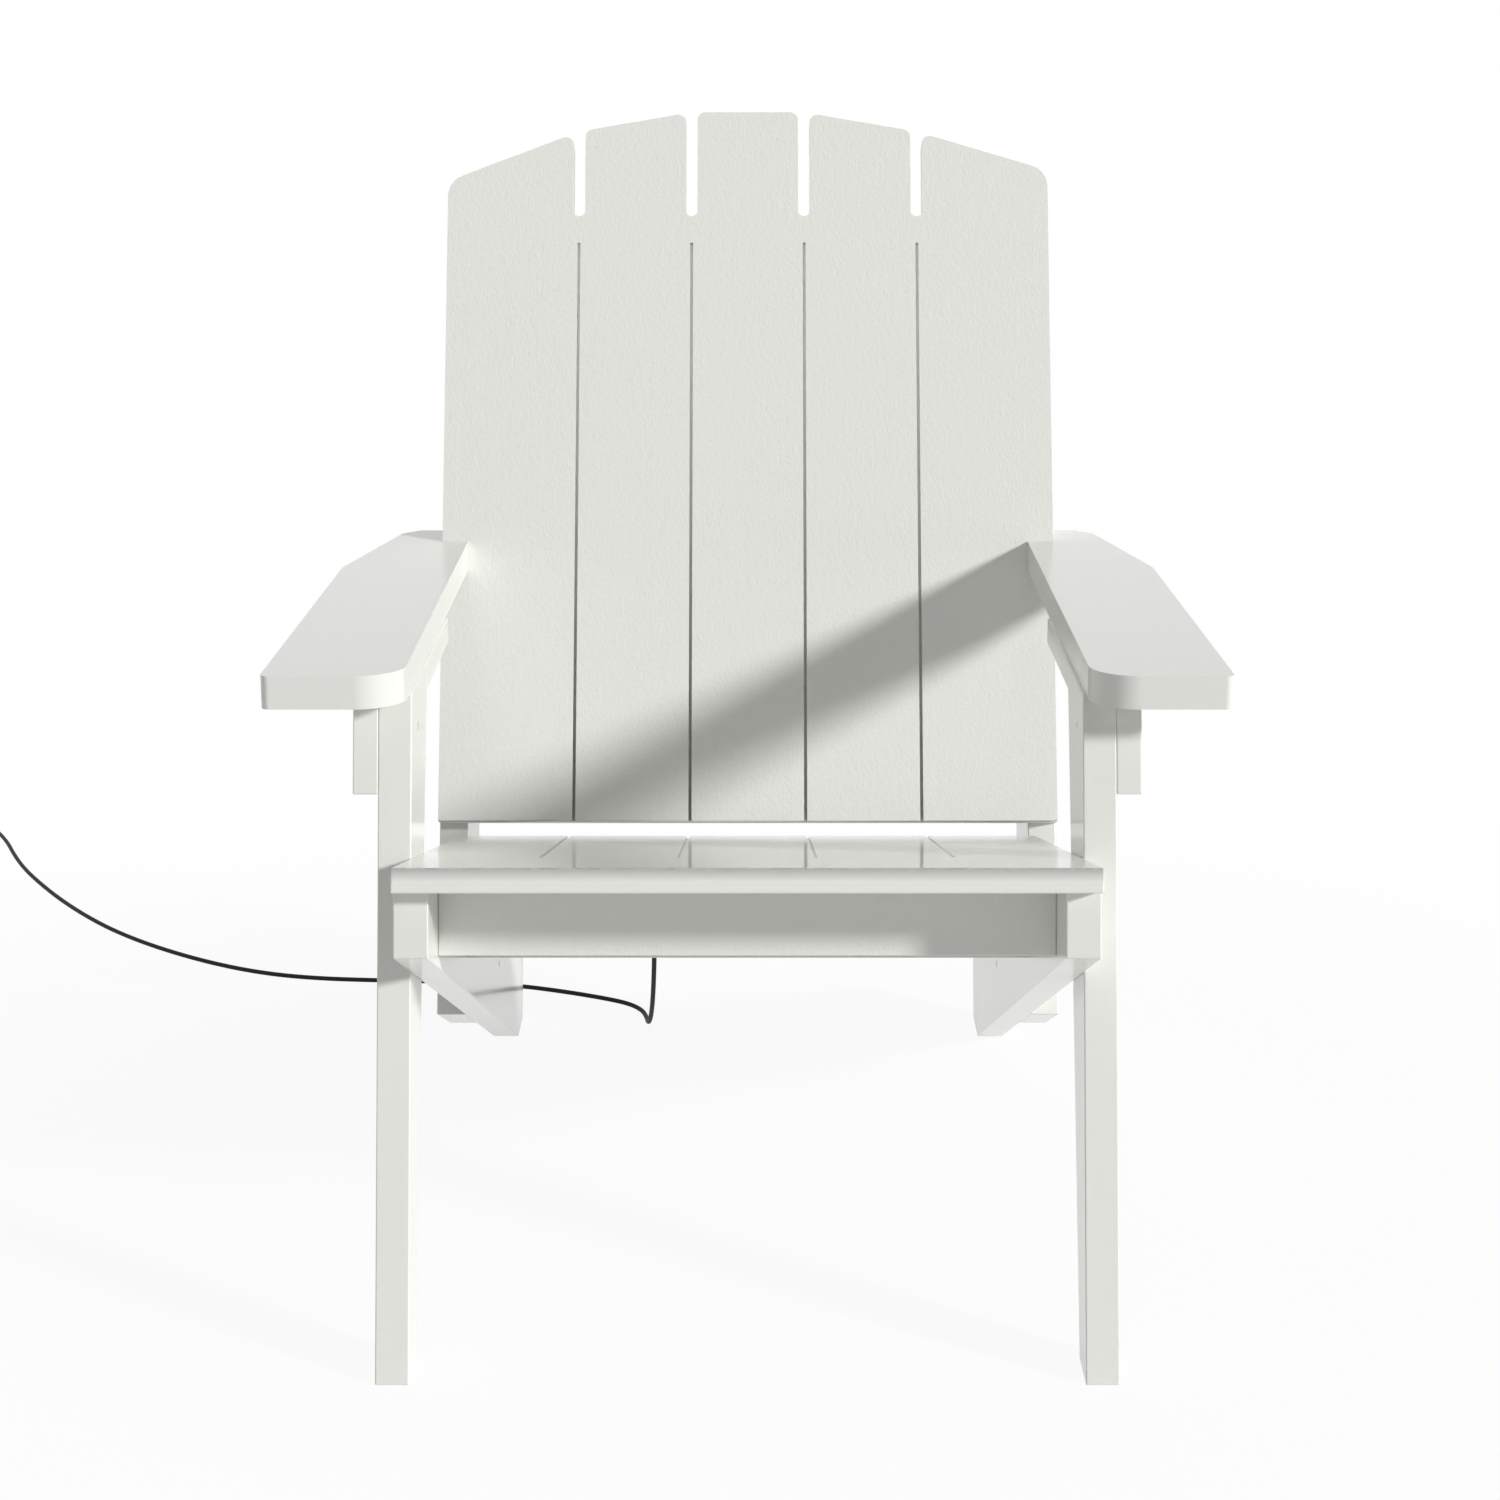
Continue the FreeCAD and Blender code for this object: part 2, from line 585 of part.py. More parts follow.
lid = new_body("box_lid_plate")
pad(lid, outline(lid, "box_lid_outline", "XY_Plane", [
    ("0", "0"), ("#box_width", "0"), ("#box_width", "#box_depth"), ("0", "#box_depth")]),
    "#box_wall", reverse=True)
fillet_edges(lid, "5", lambda edge: along(edge, Vector(0, 0, 1)))
RUN = f"({REAR_RAIL} + #batten)"
DROP = "(#box_drop + #box_height)"
place(lid, "#box_place - #box_width / 2",
      f"#seat_front + {RUN} * cos(#seat_slope) - {DROP} * sin(#seat_slope)",
      f"#seat_top - {RUN} * sin(#seat_slope) - {DROP} * cos(#seat_slope)", "#seat_slope")
nodes["power_box_lid"] = lid

# ---------------------------------------------------------------- gland and strain relief
GLAND_LENGTH = 34
relief = doc.addObject("Part::Cone", "gland_relief")
bind(relief, "Radius1", "#lead / 2 + 3.4")
bind(relief, "Radius2", "#lead / 2 + 1.1")
relief.Height = GLAND_LENGTH - 8
collar = rod("gland_collar", "#lead / 2 + 6", "8")
neck = rod("gland_neck", "#lead / 2 + 3.5", "#box_wall + 2")
for item, run in ((collar, 0), (relief, 8), (neck, -size("box_wall") - 2)):
    item.Placement = seat_frame.multiply(FreeCAD.Placement(
        Vector(GLAND_X, gland_run + run, -GLAND_DROP), gland_axis))
gland_solid = joined("gland_solid", [neck, collar, relief])
nodes["cable_gland"] = gland_solid

# ---------------------------------------------------------------- mains lead
# Its middle line, from the gland's tip down to the floor, round behind the rear feet and away.
gland_tip = seat_frame.multVec(Vector(GLAND_X, gland_run + GLAND_LENGTH, -GLAND_DROP))
first_bend = seat_frame.multVec(Vector(GLAND_X, gland_run + GLAND_LENGTH + 24, -GLAND_DROP))
LEAD_ROUTE = [
    gland_tip,
    first_bend,
    Vector(-90.3, 184.5, 211),
    Vector(-91, 208.5, 182),
    Vector(-92, 236.5, 147),
    Vector(-93.5, 266.5, 112),
    Vector(-95.5, 299.5, 78),
    Vector(-98, 333.5, 46),
    Vector(-101, 365.5, 21),
    Vector(-104.5, 394.5, 6),
    Vector(-107, 422.5, 2.8),
    Vector(-113, 445.5, 2.8),
    Vector(-128, 465.5, 2.8),
    Vector(-155, 482.5, 2.8),
    Vector(-198, 503.5, 2.8),
    Vector(-247, 522.5, 2.8),
    Vector(-300, 532.5, 2.8),
    Vector(-356, 539, 2.8),
    Vector(-415, 542, 2.8),
    Vector(-472, 548, 2.8),
    Vector(-524, 561.5, 2.8),
    Vector(-577, 587.5, 2.8),
    Vector(-632, 625.5, 2.8),
    Vector(-686, 671.5, 2.8),
    Vector(-736, 723.5, 2.8),
    Vector(-780, 780.5, 2.8),
    Vector(-820, 839.5, 2.8),
    Vector(-856, 899.5, 2.8),
    Vector(-889, 959.5, 2.8),
    Vector(-917, 1021.5, 2.8),
    Vector(-941, 1083.5, 2.8),
    Vector(-970, 1140.5, 2.8),
    Vector(-1006, 1188.5, 3.9),
    Vector(-1044, 1224.5, 7),
    Vector(-1074, 1248.5, 8.6),
]


def lead_path(points):
    """Straight runs joined by arcs that touch them, and the smallest arc's radius."""
    edges = []
    radii = []
    start = points[0]
    for before, corner, after in zip(points, points[1:], points[2:]):
        into, out = corner - before, after - corner
        cut = 0.45 * min(into.Length, out.Length)
        turn = into.getAngle(out)
        radii.append(cut / math.tan(turn / 2))
        into.normalize()
        out.normalize()
        enter, leave = corner - into * cut, corner + out * cut
        # the arc's middle lies on the line that halves the corner
        halving = (out - into).normalize()
        reach = radii[-1] / math.cos(turn / 2) - radii[-1]
        edges.append(Part.LineSegment(start, enter).toShape())
        edges.append(Part.Arc(enter, corner + halving * reach, leave).toShape())
        start = leave
    edges.append(Part.LineSegment(start, points[-1]).toShape())
    return Part.Wire(edges), radii


path, radii = lead_path(LEAD_ROUTE)
section = Part.Wire([Part.Circle(LEAD_ROUTE[0], LEAD_ROUTE[1] - LEAD_ROUTE[0], size("lead") / 2).toShape()])
lead = doc.addObject("Part::Feature", "lead_tube")
lead.Shape = path.makePipeShell([section], True, False)
expected = math.pi * (size("lead") / 2) ** 2 * path.Length
print(f"lead: {path.Length:.0f} mm, volume {lead.Shape.Volume / expected:.4f} of section times length")
print("lead radii:", " ".join(f"{radius:.0f}" for radius in radii))
nodes["power_cord"] = lead

# ---------------------------------------------------------------- plug on the lead's end
heading = LEAD_ROUTE[-1] - LEAD_ROUTE[-2]
heading.normalize()
flat = Vector(heading.x, heading.y, 0).normalize()
plug_frame = FreeCAD.Placement(LEAD_ROUTE[-1], FreeCAD.Rotation(
    Vector(0, 0, 1).cross(heading), Vector(0, 0, 1), heading, "ZYX"))
PLUG_RELIEF = 24
PLUG_LENGTH = 30
PLUG_WIDTH = 25
PLUG_HEIGHT = 17
BLADE = (6.3, 1.5, 17)
BLADE_PITCH = 12.7
plug_relief = doc.addObject("Part::Cone", "plug_relief")
bind(plug_relief, "Radius1", "#lead / 2 + 1")
plug_relief.Radius2 = 6
plug_relief.Height = PLUG_RELIEF
plug_relief.Placement = plug_frame
plug_block = doc.addObject("Part::Box", "plug_block")
plug_block.Length = PLUG_WIDTH
plug_block.Width = PLUG_HEIGHT
plug_block.Height = PLUG_LENGTH
plug_block.Placement = plug_frame.multiply(FreeCAD.Placement(
    Vector(-PLUG_WIDTH / 2, -PLUG_HEIGHT / 2, PLUG_RELIEF - 1), FreeCAD.Rotation()))
plug_round = doc.addObject("Part::Fillet", "plug_round")
plug_round.Base = plug_block
plug_round.Edges = [(i, 3.5, 3.5) for i in range(1, 13)]
plug_whole = joined("plug_whole", [plug_relief, plug_round])
blades = []
for name, side in (("left", -1), ("right", 1)):
    blade = doc.addObject("Part::Box", f"plug_blade_{name}")
    blade.Length, blade.Width, blade.Height = BLADE[1], BLADE[0], BLADE[2] + 6
    blade.Placement = plug_frame.multiply(FreeCAD.Placement(
        Vector(side * BLADE_PITCH / 2 - BLADE[1] / 2, -BLADE[0] / 2, PLUG_RELIEF + PLUG_LENGTH - 7),
        FreeCAD.Rotation()))
    blades.append(blade)
pins = doc.addObject("Part::Compound", "plug_pins_group")
pins.Links = blades
plug = doc.addObject("Part::Cut", "plug_moulded")
plug.Base = plug_whole
plug.Tool = pins
nodes["plug_body"] = plug
nodes["plug_pins"] = pins
doc.recompute()

# ---------------------------------------------------------------- labels, checks and files
for name, item in nodes.items():
    item.Label = name
doc.recompute()
for item in doc.Objects:
    if "Invalid" in item.State or "Error" in item.State:
        raise RuntimeError(f"{item.Label}: {item.State}")
for name, item in nodes.items():
    if item.Label != name:
        raise RuntimeError(f"{name} is labelled {item.Label}")
    if item.Shape.isNull() or not item.Shape.isValid():
        raise RuntimeError(f"{name} has no valid shape")
os.makedirs("parts", exist_ok=True)
low = Vector(1e9, 1e9, 1e9)
high = Vector(-1e9, -1e9, -1e9)
ON_THE_LEAD = ("power_cord", "plug_body", "plug_pins")
for name, item in sorted(nodes.items()):
    item.Shape.exportStep(f"parts/{name}.step")
    box = item.Shape.BoundBox
    print(f"{name:22s} {len(item.Shape.Solids):2d} solids  {item.Shape.Volume / 1000:9.1f} cm3"
          f"  x {box.XMin:7.1f} {box.XMax:7.1f}  y {box.YMin:7.1f} {box.YMax:7.1f}"
          f"  z {box.ZMin:6.1f} {box.ZMax:6.1f}")
    if name not in ON_THE_LEAD:
        low = Vector(min(low.x, box.XMin), min(low.y, box.YMin), min(low.z, box.ZMin))
        high = Vector(max(high.x, box.XMax), max(high.y, box.YMax), max(high.z, box.ZMax))
print(f"chair: x {low.x:.1f} {high.x:.1f}  y {low.y:.1f} {high.y:.1f}  z {low.z:.1f} {high.z:.1f}")
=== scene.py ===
# %% [markdown]
# # An adirondack chair with a mains lead
# The chair's boards, panels and fasteners come as finished solids in one frame, in metres: +Z is up
# and the seat faces -Y. This lesson gives them their finish: it rounds the panels' edges, makes the
# bolts and screws, lays the lead on the floor, builds the materials and lights the chair.

# %% Load the frame
import bmesh
import bpy
import json
import math
from mathutils import Matrix, Vector


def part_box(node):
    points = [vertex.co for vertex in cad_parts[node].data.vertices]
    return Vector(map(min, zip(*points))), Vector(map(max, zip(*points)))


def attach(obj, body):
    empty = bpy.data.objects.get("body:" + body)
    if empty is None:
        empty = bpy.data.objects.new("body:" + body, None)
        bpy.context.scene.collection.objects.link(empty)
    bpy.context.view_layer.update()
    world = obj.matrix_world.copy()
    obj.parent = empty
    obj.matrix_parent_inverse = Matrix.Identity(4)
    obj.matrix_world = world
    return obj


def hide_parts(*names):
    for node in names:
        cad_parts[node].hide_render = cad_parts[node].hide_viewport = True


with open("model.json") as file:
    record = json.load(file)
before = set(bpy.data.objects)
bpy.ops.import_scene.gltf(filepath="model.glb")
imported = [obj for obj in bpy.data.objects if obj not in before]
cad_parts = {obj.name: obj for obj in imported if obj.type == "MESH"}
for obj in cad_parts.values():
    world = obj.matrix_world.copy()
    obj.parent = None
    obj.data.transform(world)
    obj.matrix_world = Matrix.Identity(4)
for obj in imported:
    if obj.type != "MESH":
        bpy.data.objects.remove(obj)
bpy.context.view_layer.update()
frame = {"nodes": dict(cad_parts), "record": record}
scene = bpy.context.scene
MM = 0.001
SIDES = (("left", -1), ("right", 1))

# %% [markdown]
# The camera comes first, because everything else is judged through it. It is a 72 mm lens on a 36 mm
# sensor, a little above the back's top and looking down by 14.5 degrees, straight at the chair.

# %% Camera
LENS = 72.0
SENSOR = 36.0
LOOKS_DOWN = 14.52
camera_data = bpy.data.cameras.new("camera")
camera_data.lens = LENS
camera_data.sensor_width = SENSOR
camera_data.clip_end = 60
camera = bpy.data.objects.new("camera", camera_data)
camera.location = (0.00205, -2.5745, 1.0702)
camera.rotation_euler = (math.radians(90 - LOOKS_DOWN), 0, 0)
scene.collection.objects.link(camera)
scene.camera = camera
print("camera at", tuple(camera.location), "looking down", LOOKS_DOWN)

# %% [markdown]
# The lead is a real length of flexible cable. It leaves the gland under the seat, sags to the floor,
# bends round behind the rear foot and runs off to one side. A NURBS curve of order 3 bends smoothly
# between its control points, which is how a cable looks. The ends must be clamped with
# use_endpoint_u, and both settings come after the points are added, or Blender keeps order 2.

# %% The lead's route
LEAD_DIAMETER = 4.8 * MM
LEAD_ROUTE = [
    (-0.090, 0.13736, 0.23609),
    (-0.090, 0.16069, 0.23045),
    (-0.0903, 0.1845, 0.211),
    (-0.091, 0.2085, 0.182),
    (-0.092, 0.2365, 0.147),
    (-0.0935, 0.2665, 0.112),
    (-0.0955, 0.2995, 0.078),
    (-0.098, 0.3335, 0.046),
    (-0.101, 0.3655, 0.021),
    (-0.1045, 0.3945, 0.006),
    (-0.107, 0.4225, 0.0028),
    (-0.113, 0.4455, 0.0028),
    (-0.128, 0.4655, 0.0028),
    (-0.155, 0.4825, 0.0028),
    (-0.198, 0.5035, 0.0028),
    (-0.247, 0.5225, 0.0028),
    (-0.300, 0.5325, 0.0028),
    (-0.356, 0.539, 0.0028),
    (-0.415, 0.542, 0.0028),
    (-0.472, 0.548, 0.0028),
    (-0.524, 0.5615, 0.0028),
    (-0.577, 0.5875, 0.0028),
    (-0.632, 0.6255, 0.0028),
    (-0.686, 0.6715, 0.0028),
    (-0.736, 0.7235, 0.0028),
    (-0.780, 0.7805, 0.0028),
    (-0.820, 0.8395, 0.0028),
    (-0.856, 0.8995, 0.0028),
    (-0.889, 0.9595, 0.0028),
    (-0.917, 1.0215, 0.0028),
    (-0.941, 1.0835, 0.0028),
    (-0.970, 1.1405, 0.0028),
    (-1.006, 1.1885, 0.0039),
    (-1.044, 1.2245, 0.007),
    (-1.074, 1.2485, 0.0086),
]


def nurbs_line(name, points):
    """An open NURBS curve of order 3 that starts and ends on its first and last points."""
    data = bpy.data.curves.new(name, "CURVE")
    data.dimensions = "3D"
    spline = data.splines.new("NURBS")
    spline.points.add(len(points) - 1)
    for point, place in zip(spline.points, points):
        point.co = (*place, 1)
    spline.order_u = 3
    spline.use_endpoint_u = True
    spline.resolution_u = 12
    thing = bpy.data.objects.new(name, data)
    scene.collection.objects.link(thing)
    return thing


lead = nurbs_line("lead", LEAD_ROUTE)
lead.data.bevel_depth = LEAD_DIAMETER / 2
lead.data.bevel_resolution = 5
lead.data.use_fill_caps = True
print("the lead has", len(LEAD_ROUTE), "control points")

# %% [markdown]
# Effects that several finishes share are shader node groups, built once. The first gives the fine
# hide-like emboss that is rolled into the two panels: small rounded cells whose size can be set, and
# stretched along the sheet. The second gives a board's faint sawn grain. The third gives a base colour
# that drifts at random between two tones, so that no face is one flat colour.

# %% Shader node groups


def new_group(name, inputs, outputs):
    """An empty shader node group with named number inputs and named outputs."""
    tree = bpy.data.node_groups.new(name, "ShaderNodeTree")
    for label, value in inputs:
        socket = tree.interface.new_socket(label, in_out="INPUT", socket_type="NodeSocketFloat")
        socket.default_value = value
    for label, kind in outputs:
        tree.interface.new_socket(label, in_out="OUTPUT", socket_type=kind)
    return tree, tree.nodes.new("NodeGroupInput"), tree.nodes.new("NodeGroupOutput")


def math_node(tree, operation, first, second=None):
    """A Math node whose inputs are sockets or numbers; returns its output socket."""
    node = tree.nodes.new("ShaderNodeMath")
    node.operation = operation
    for index, value in enumerate((first, second)):
        if value is None:
            continue
        if isinstance(value, (int, float)):
            node.inputs[index].default_value = value
        else:
            tree.links.new(value, node.inputs[index])
    return node.outputs[0]


def noise_node(tree, vector, scale, detail=3.0, roughness=0.5):
    """A noise texture on a vector socket; its scale is a socket or a number."""
    node = tree.nodes.new("ShaderNodeTexNoise")
    tree.links.new(vector, node.inputs["Vector"])
    if isinstance(scale, (int, float)):
        node.inputs["Scale"].default_value = scale
    else:
        tree.links.new(scale, node.inputs["Scale"])
    node.inputs["Detail"].default_value = detail
    node.inputs["Roughness"].default_value = roughness
    return node.outputs["Fac"]


def stretched(tree, scale):
    """Object coordinates, scaled unevenly so that a pattern runs along one way."""
    coordinates = tree.nodes.new("ShaderNodeTexCoord")
    mapping = tree.nodes.new("ShaderNodeMapping")
    mapping.inputs["Scale"].default_value = scale
    tree.links.new(coordinates.outputs["Object"], mapping.inputs["Vector"])
    return mapping.outputs["Vector"]


def emboss_group():
    """Height of a rolled hide-like emboss."""
    tree, given, result = new_group(
        "rolled_emboss", [("Cells", 260.0), ("Softness", 0.5)], [("Height", "NodeSocketFloat")])
    vector = stretched(tree, (1.0, 0.62, 0.62))
    cells = tree.nodes.new("ShaderNodeTexVoronoi")
    cells.feature = "SMOOTH_F1"
    tree.links.new(vector, cells.inputs["Vector"])
    tree.links.new(given.outputs["Cells"], cells.inputs["Scale"])
    tree.links.new(given.outputs["Softness"], cells.inputs["Smoothness"])
    wander = noise_node(tree, vector, math_node(tree, "MULTIPLY", given.outputs["Cells"], 0.45), 4.0, 0.6)
    height = math_node(tree, "ADD", math_node(tree, "MULTIPLY", cells.outputs["Distance"], 0.55),
                       math_node(tree, "MULTIPLY", wander, 0.9))
    tree.links.new(height, result.inputs["Height"])
    return tree


def grain_group():
    """Height of a faint grain that runs along the board."""
    tree, given, result = new_group(
        "faint_grain", [("Lines", 900.0), ("Waves", 40.0)], [("Height", "NodeSocketFloat")])
    vector = stretched(tree, (1.0, 0.03, 0.03))
    lines = noise_node(tree, vector, given.outputs["Lines"], 2.0, 0.5)
    coordinates = stretched(tree, (1.0, 1.0, 1.0))
    waves = noise_node(tree, coordinates, given.outputs["Waves"], 3.0, 0.5)
    speckle = noise_node(tree, coordinates, 1400.0, 1.0, 0.5)
    height = math_node(tree, "ADD", math_node(tree, "MULTIPLY", lines, 0.5),
                       math_node(tree, "ADD", math_node(tree, "MULTIPLY", waves, 0.5),
                                 math_node(tree, "MULTIPLY", speckle, 0.25)))
    tree.links.new(height, result.inputs["Height"])
    return tree


def tone_group():
    """A base colour that drifts a little between two tones, so that no face is one flat colour."""
    tree, given, result = new_group(
        "drifting_tone", [("Size", 5.0), ("Contrast", 1.0)], [("Amount", "NodeSocketFloat")])
    coordinates = stretched(tree, (1.0, 1.0, 1.0))
    broad = noise_node(tree, coordinates, given.outputs["Size"], 4.0, 0.6)
    fine = noise_node(tree, coordinates, 180.0, 2.0, 0.5)
    mixed = math_node(tree, "ADD", math_node(tree, "MULTIPLY", broad, 0.75),
                      math_node(tree, "MULTIPLY", fine, 0.25))
    centred = math_node(tree, "MULTIPLY", math_node(tree, "SUBTRACT", mixed, 0.5), given.outputs["Contrast"])
    tree.links.new(math_node(tree, "ADD", centred, 0.5), result.inputs["Amount"])
    return tree


EMBOSS = emboss_group()
GRAIN = grain_group()
TONE = tone_group()
print("shader groups:", [group.name for group in (EMBOSS, GRAIN, TONE)])

# %% [markdown]
# Each material is a Principled shader. Numbers that are the same everywhere are typed on the
# shader's own sockets; only what changes over the surface is linked: base colour, roughness and the
# normal from a Bump node.

# %% Materials


def group_node(tree, group, **values):
    """One use of a shader group, with some of its inputs set."""
    node = tree.nodes.new("ShaderNodeGroup")
    node.node_tree = group
    for label, value in values.items():
        node.inputs[label].default_value = value
    return node


def finish(name, light, dark, roughness, spread=0.06, relief=None, strength=0.3, depth=0.0002,
           tone_size=5.0, contrast=1.0, **constants):
    """A material whose colour and roughness drift, with an optional relief group for its bump."""
    material = bpy.data.materials.new(name + "_finish")
    material.use_nodes = True
    tree = material.node_tree
    shader = tree.nodes["Principled BSDF"]
    for label, value in constants.items():
        shader.inputs[label.replace("_", " ")].default_value = value
    tone = group_node(tree, TONE, Size=tone_size, Contrast=contrast)
    colour = tree.nodes.new("ShaderNodeMix")
    colour.data_type = "RGBA"
    colour.inputs["A"].default_value = (*dark, 1)
    colour.inputs["B"].default_value = (*light, 1)
    tree.links.new(tone.outputs["Amount"], colour.inputs["Factor"])
    tree.links.new(colour.outputs["Result"], shader.inputs["Base Color"])
    rough = math_node(tree, "ADD", math_node(tree, "MULTIPLY", tone.outputs["Amount"], spread),
                      roughness - spread / 2)
    tree.links.new(rough, shader.inputs["Roughness"])
    if relief:
        bump = tree.nodes.new("ShaderNodeBump")
        bump.inputs["Strength"].default_value = strength
        bump.inputs["Distance"].default_value = depth
        tree.links.new(relief(tree), bump.inputs["Height"])
        tree.links.new(bump.outputs["Normal"], shader.inputs["Normal"])
    return material


def emboss(cells, softness=0.5):
    return lambda tree: group_node(tree, EMBOSS, Cells=cells, Softness=softness).outputs["Height"]


def grain(lines, waves):
    return lambda tree: group_node(tree, GRAIN, Lines=lines, Waves=waves).outputs["Height"]


WHITE = (0.80, 0.798, 0.757)
WHITE_SHADE = (0.772, 0.772, 0.733)
BLACK = (0.020, 0.020, 0.021)
BLACK_SHADE = (0.013, 0.013, 0.014)
panel_white = finish("panel_white", WHITE, WHITE_SHADE, 0.46, relief=emboss(430.0), strength=0.60,
                     depth=0.00045, Specular_IOR_Level=0.5, Coat_Weight=0.7, Coat_Roughness=0.12)
seat_white = finish("seat_white", WHITE, WHITE_SHADE, 0.40, relief=emboss(300.0), strength=0.25,
                    depth=0.00025, Specular_IOR_Level=0.5, Coat_Weight=0.8, Coat_Roughness=0.10)
board_white = finish("board_white", WHITE, WHITE_SHADE, 0.32, relief=grain(700.0, 60.0), strength=0.22,
                     depth=0.00015, Specular_IOR_Level=0.5, Coat_Weight=0.6, Coat_Roughness=0.12)
steel = finish("fastener_steel", (0.66, 0.66, 0.65), (0.52, 0.52, 0.51), 0.30, spread=0.16,
               relief=grain(2400.0, 300.0), strength=0.2, depth=0.0001, tone_size=160.0, Metallic=1.0)
box_black = finish("box_black", (0.030, 0.030, 0.031), BLACK_SHADE, 0.55, relief=emboss(900.0), strength=0.5,
                   depth=0.0002, tone_size=40.0)
gland_black = finish("gland_black", BLACK, BLACK_SHADE, 0.62, relief=emboss(1500.0), strength=0.3,
                     depth=0.0001, tone_size=80.0)
lead_black = finish("lead_black", (0.010, 0.010, 0.011), (0.006, 0.006, 0.007), 0.6, spread=0.14, relief=grain(1500.0, 220.0),
                    strength=0.25, depth=0.0001, tone_size=60.0, Specular_IOR_Level=0.2)
plug_black = finish("plug_black", (0.024, 0.024, 0.025), BLACK_SHADE, 0.38, relief=emboss(1600.0),
                    strength=0.25, depth=0.0001, tone_size=90.0)
blade_metal = finish("blade_metal", (0.83, 0.76, 0.58), (0.70, 0.62, 0.44), 0.26, spread=0.12,
                     relief=grain(3000.0, 400.0), strength=0.15, depth=0.00005, tone_size=200.0, Metallic=1.0)
FINISHES = {
    "panel_white": panel_white,
    "board_white": board_white,
    "fastener_steel": steel,
    "box_black": box_black,
    "gland_black": gland_black,
    "lead_black": lead_black,
    "plug_black": plug_black,
    "blade_metal": blade_metal,
}
node_slot = {entry["node"]: entry["material_slot"] for entry in frame["record"]["subparts"]}
for name, node in frame["nodes"].items():
    node.data.materials.clear()
    node.data.materials.append(FINISHES[node_slot[name]])
frame["nodes"]["front_apron"].data.materials[0] = panel_white
print("materials:", sorted(FINISHES))
lead.data.materials.append(lead_black)

# %% [markdown]
# The panels and arms are cut from sheet, and their long edges are rounded over on a router. A copy
# of the solid's mesh is welded and its flat faces are joined again, so that a Bevel modifier can
# round the true edges. Each edge gets a weight: a full radius outside, a small one at the lips of
# the grooves, and none down in the groove.

# %% Rounded panels and arms


def welded_copy(name, new_name):
    """A CAD node's mesh as an own object, its doubles merged and its flat faces joined."""
    mesh = frame["nodes"][name].data.copy()
    mesh.name = new_name
    shape = bmesh.new()
    shape.from_mesh(mesh)
    bmesh.ops.remove_doubles(shape, verts=shape.verts, dist=1e-6)
    bmesh.ops.dissolve_limit(shape, angle_limit=math.radians(0.6), verts=shape.verts, edges=shape.edges)
    shape.to_mesh(mesh)
    shape.free()
    thing = bpy.data.objects.new(new_name, mesh)
    scene.collection.objects.link(thing)
    return thing


def rounded(name, radius, weight_of, segments=4):
    """The node with its edges rounded; weight_of(edge) gives each edge's share of the radius."""
    thing = welded_copy(name, name + "_rounded")
    shape = bmesh.new()
    shape.from_mesh(thing.data)
    layer = shape.edges.layers.float.new("bevel_weight_edge")
    for edge in shape.edges:
        if len(edge.link_faces) == 2 and edge.calc_face_angle(0) > math.radians(30):
            edge[layer] = weight_of(edge)
    shape.to_mesh(thing.data)
    shape.free()
    bevel = thing.modifiers.new("round_over", "BEVEL")
    bevel.limit_method = "WEIGHT"
    bevel.width = radius
    bevel.segments = segments
    bevel.use_clamp_overlap = True
    for polygon in thing.data.polygons:
        polygon.use_smooth = True
    weighted = thing.modifiers.new("weighted_normals", "WEIGHTED_NORMAL")
    weighted.mode = "FACE_AREA"
    weighted.weight = 90
    depsgraph = bpy.context.evaluated_depsgraph_get()
    mesh = bpy.data.meshes.new_from_object(thing.evaluated_get(depsgraph))
    thing.modifiers.clear()
    thing.data = mesh
    mesh.name = thing.name
    mesh.materials.clear()
    mesh.materials.append(FINISHES[node_slot[name]])
    return thing


def sheet_direction(name):
    """The unit normal of a panel's broad face: the direction of its largest flat area."""
    areas = {}
    for polygon in frame["nodes"][name].data.polygons:
        key = tuple(round(value, 2) for value in polygon.normal)
        areas[key] = areas.get(key, 0) + polygon.area
    return Vector(max(areas, key=areas.get)).normalized()


def panel_weights(name, groove_depth=2.2 * MM):
    """Weights for a grooved panel: outer edges 1, groove lips small, groove floors 0."""
    normal = sheet_direction(name)
    heights = [vertex.co.dot(normal) for vertex in frame["nodes"][name].data.vertices]
    top, bottom = max(heights), min(heights)

    def weight(edge):
        ends = [vertex.co.dot(normal) for vertex in edge.verts]
        faces = [face.normal.dot(normal) for face in edge.link_faces]
        for level in (top - groove_depth, bottom + groove_depth):
            if all(abs(end - level) < 0.3 * MM for end in ends):
                return 0.0
            if any(abs(end - level) < 0.3 * MM for end in ends):
                return 0.0
        at_face = any(abs(end - top) < 0.3 * MM or abs(end - bottom) < 0.3 * MM for end in ends)
        if not at_face:
            return 0.0
        narrow = any(face.calc_area() > 0 and min(face_sides(face)) < 2.6 * MM
                     for face, dot in zip(edge.link_faces, faces) if abs(dot) < 0.5)
        return 0.36 if narrow else 1.0

    return weight


def face_sides(face):
    """The lengths of a face's box, its flat direction left out."""
    low = Vector((min(v.co[i] for v in face.verts) for i in range(3)))
    high = Vector((max(v.co[i] for v in face.verts) for i in range(3)))
    spans = sorted(high - low)
    return spans[1:]


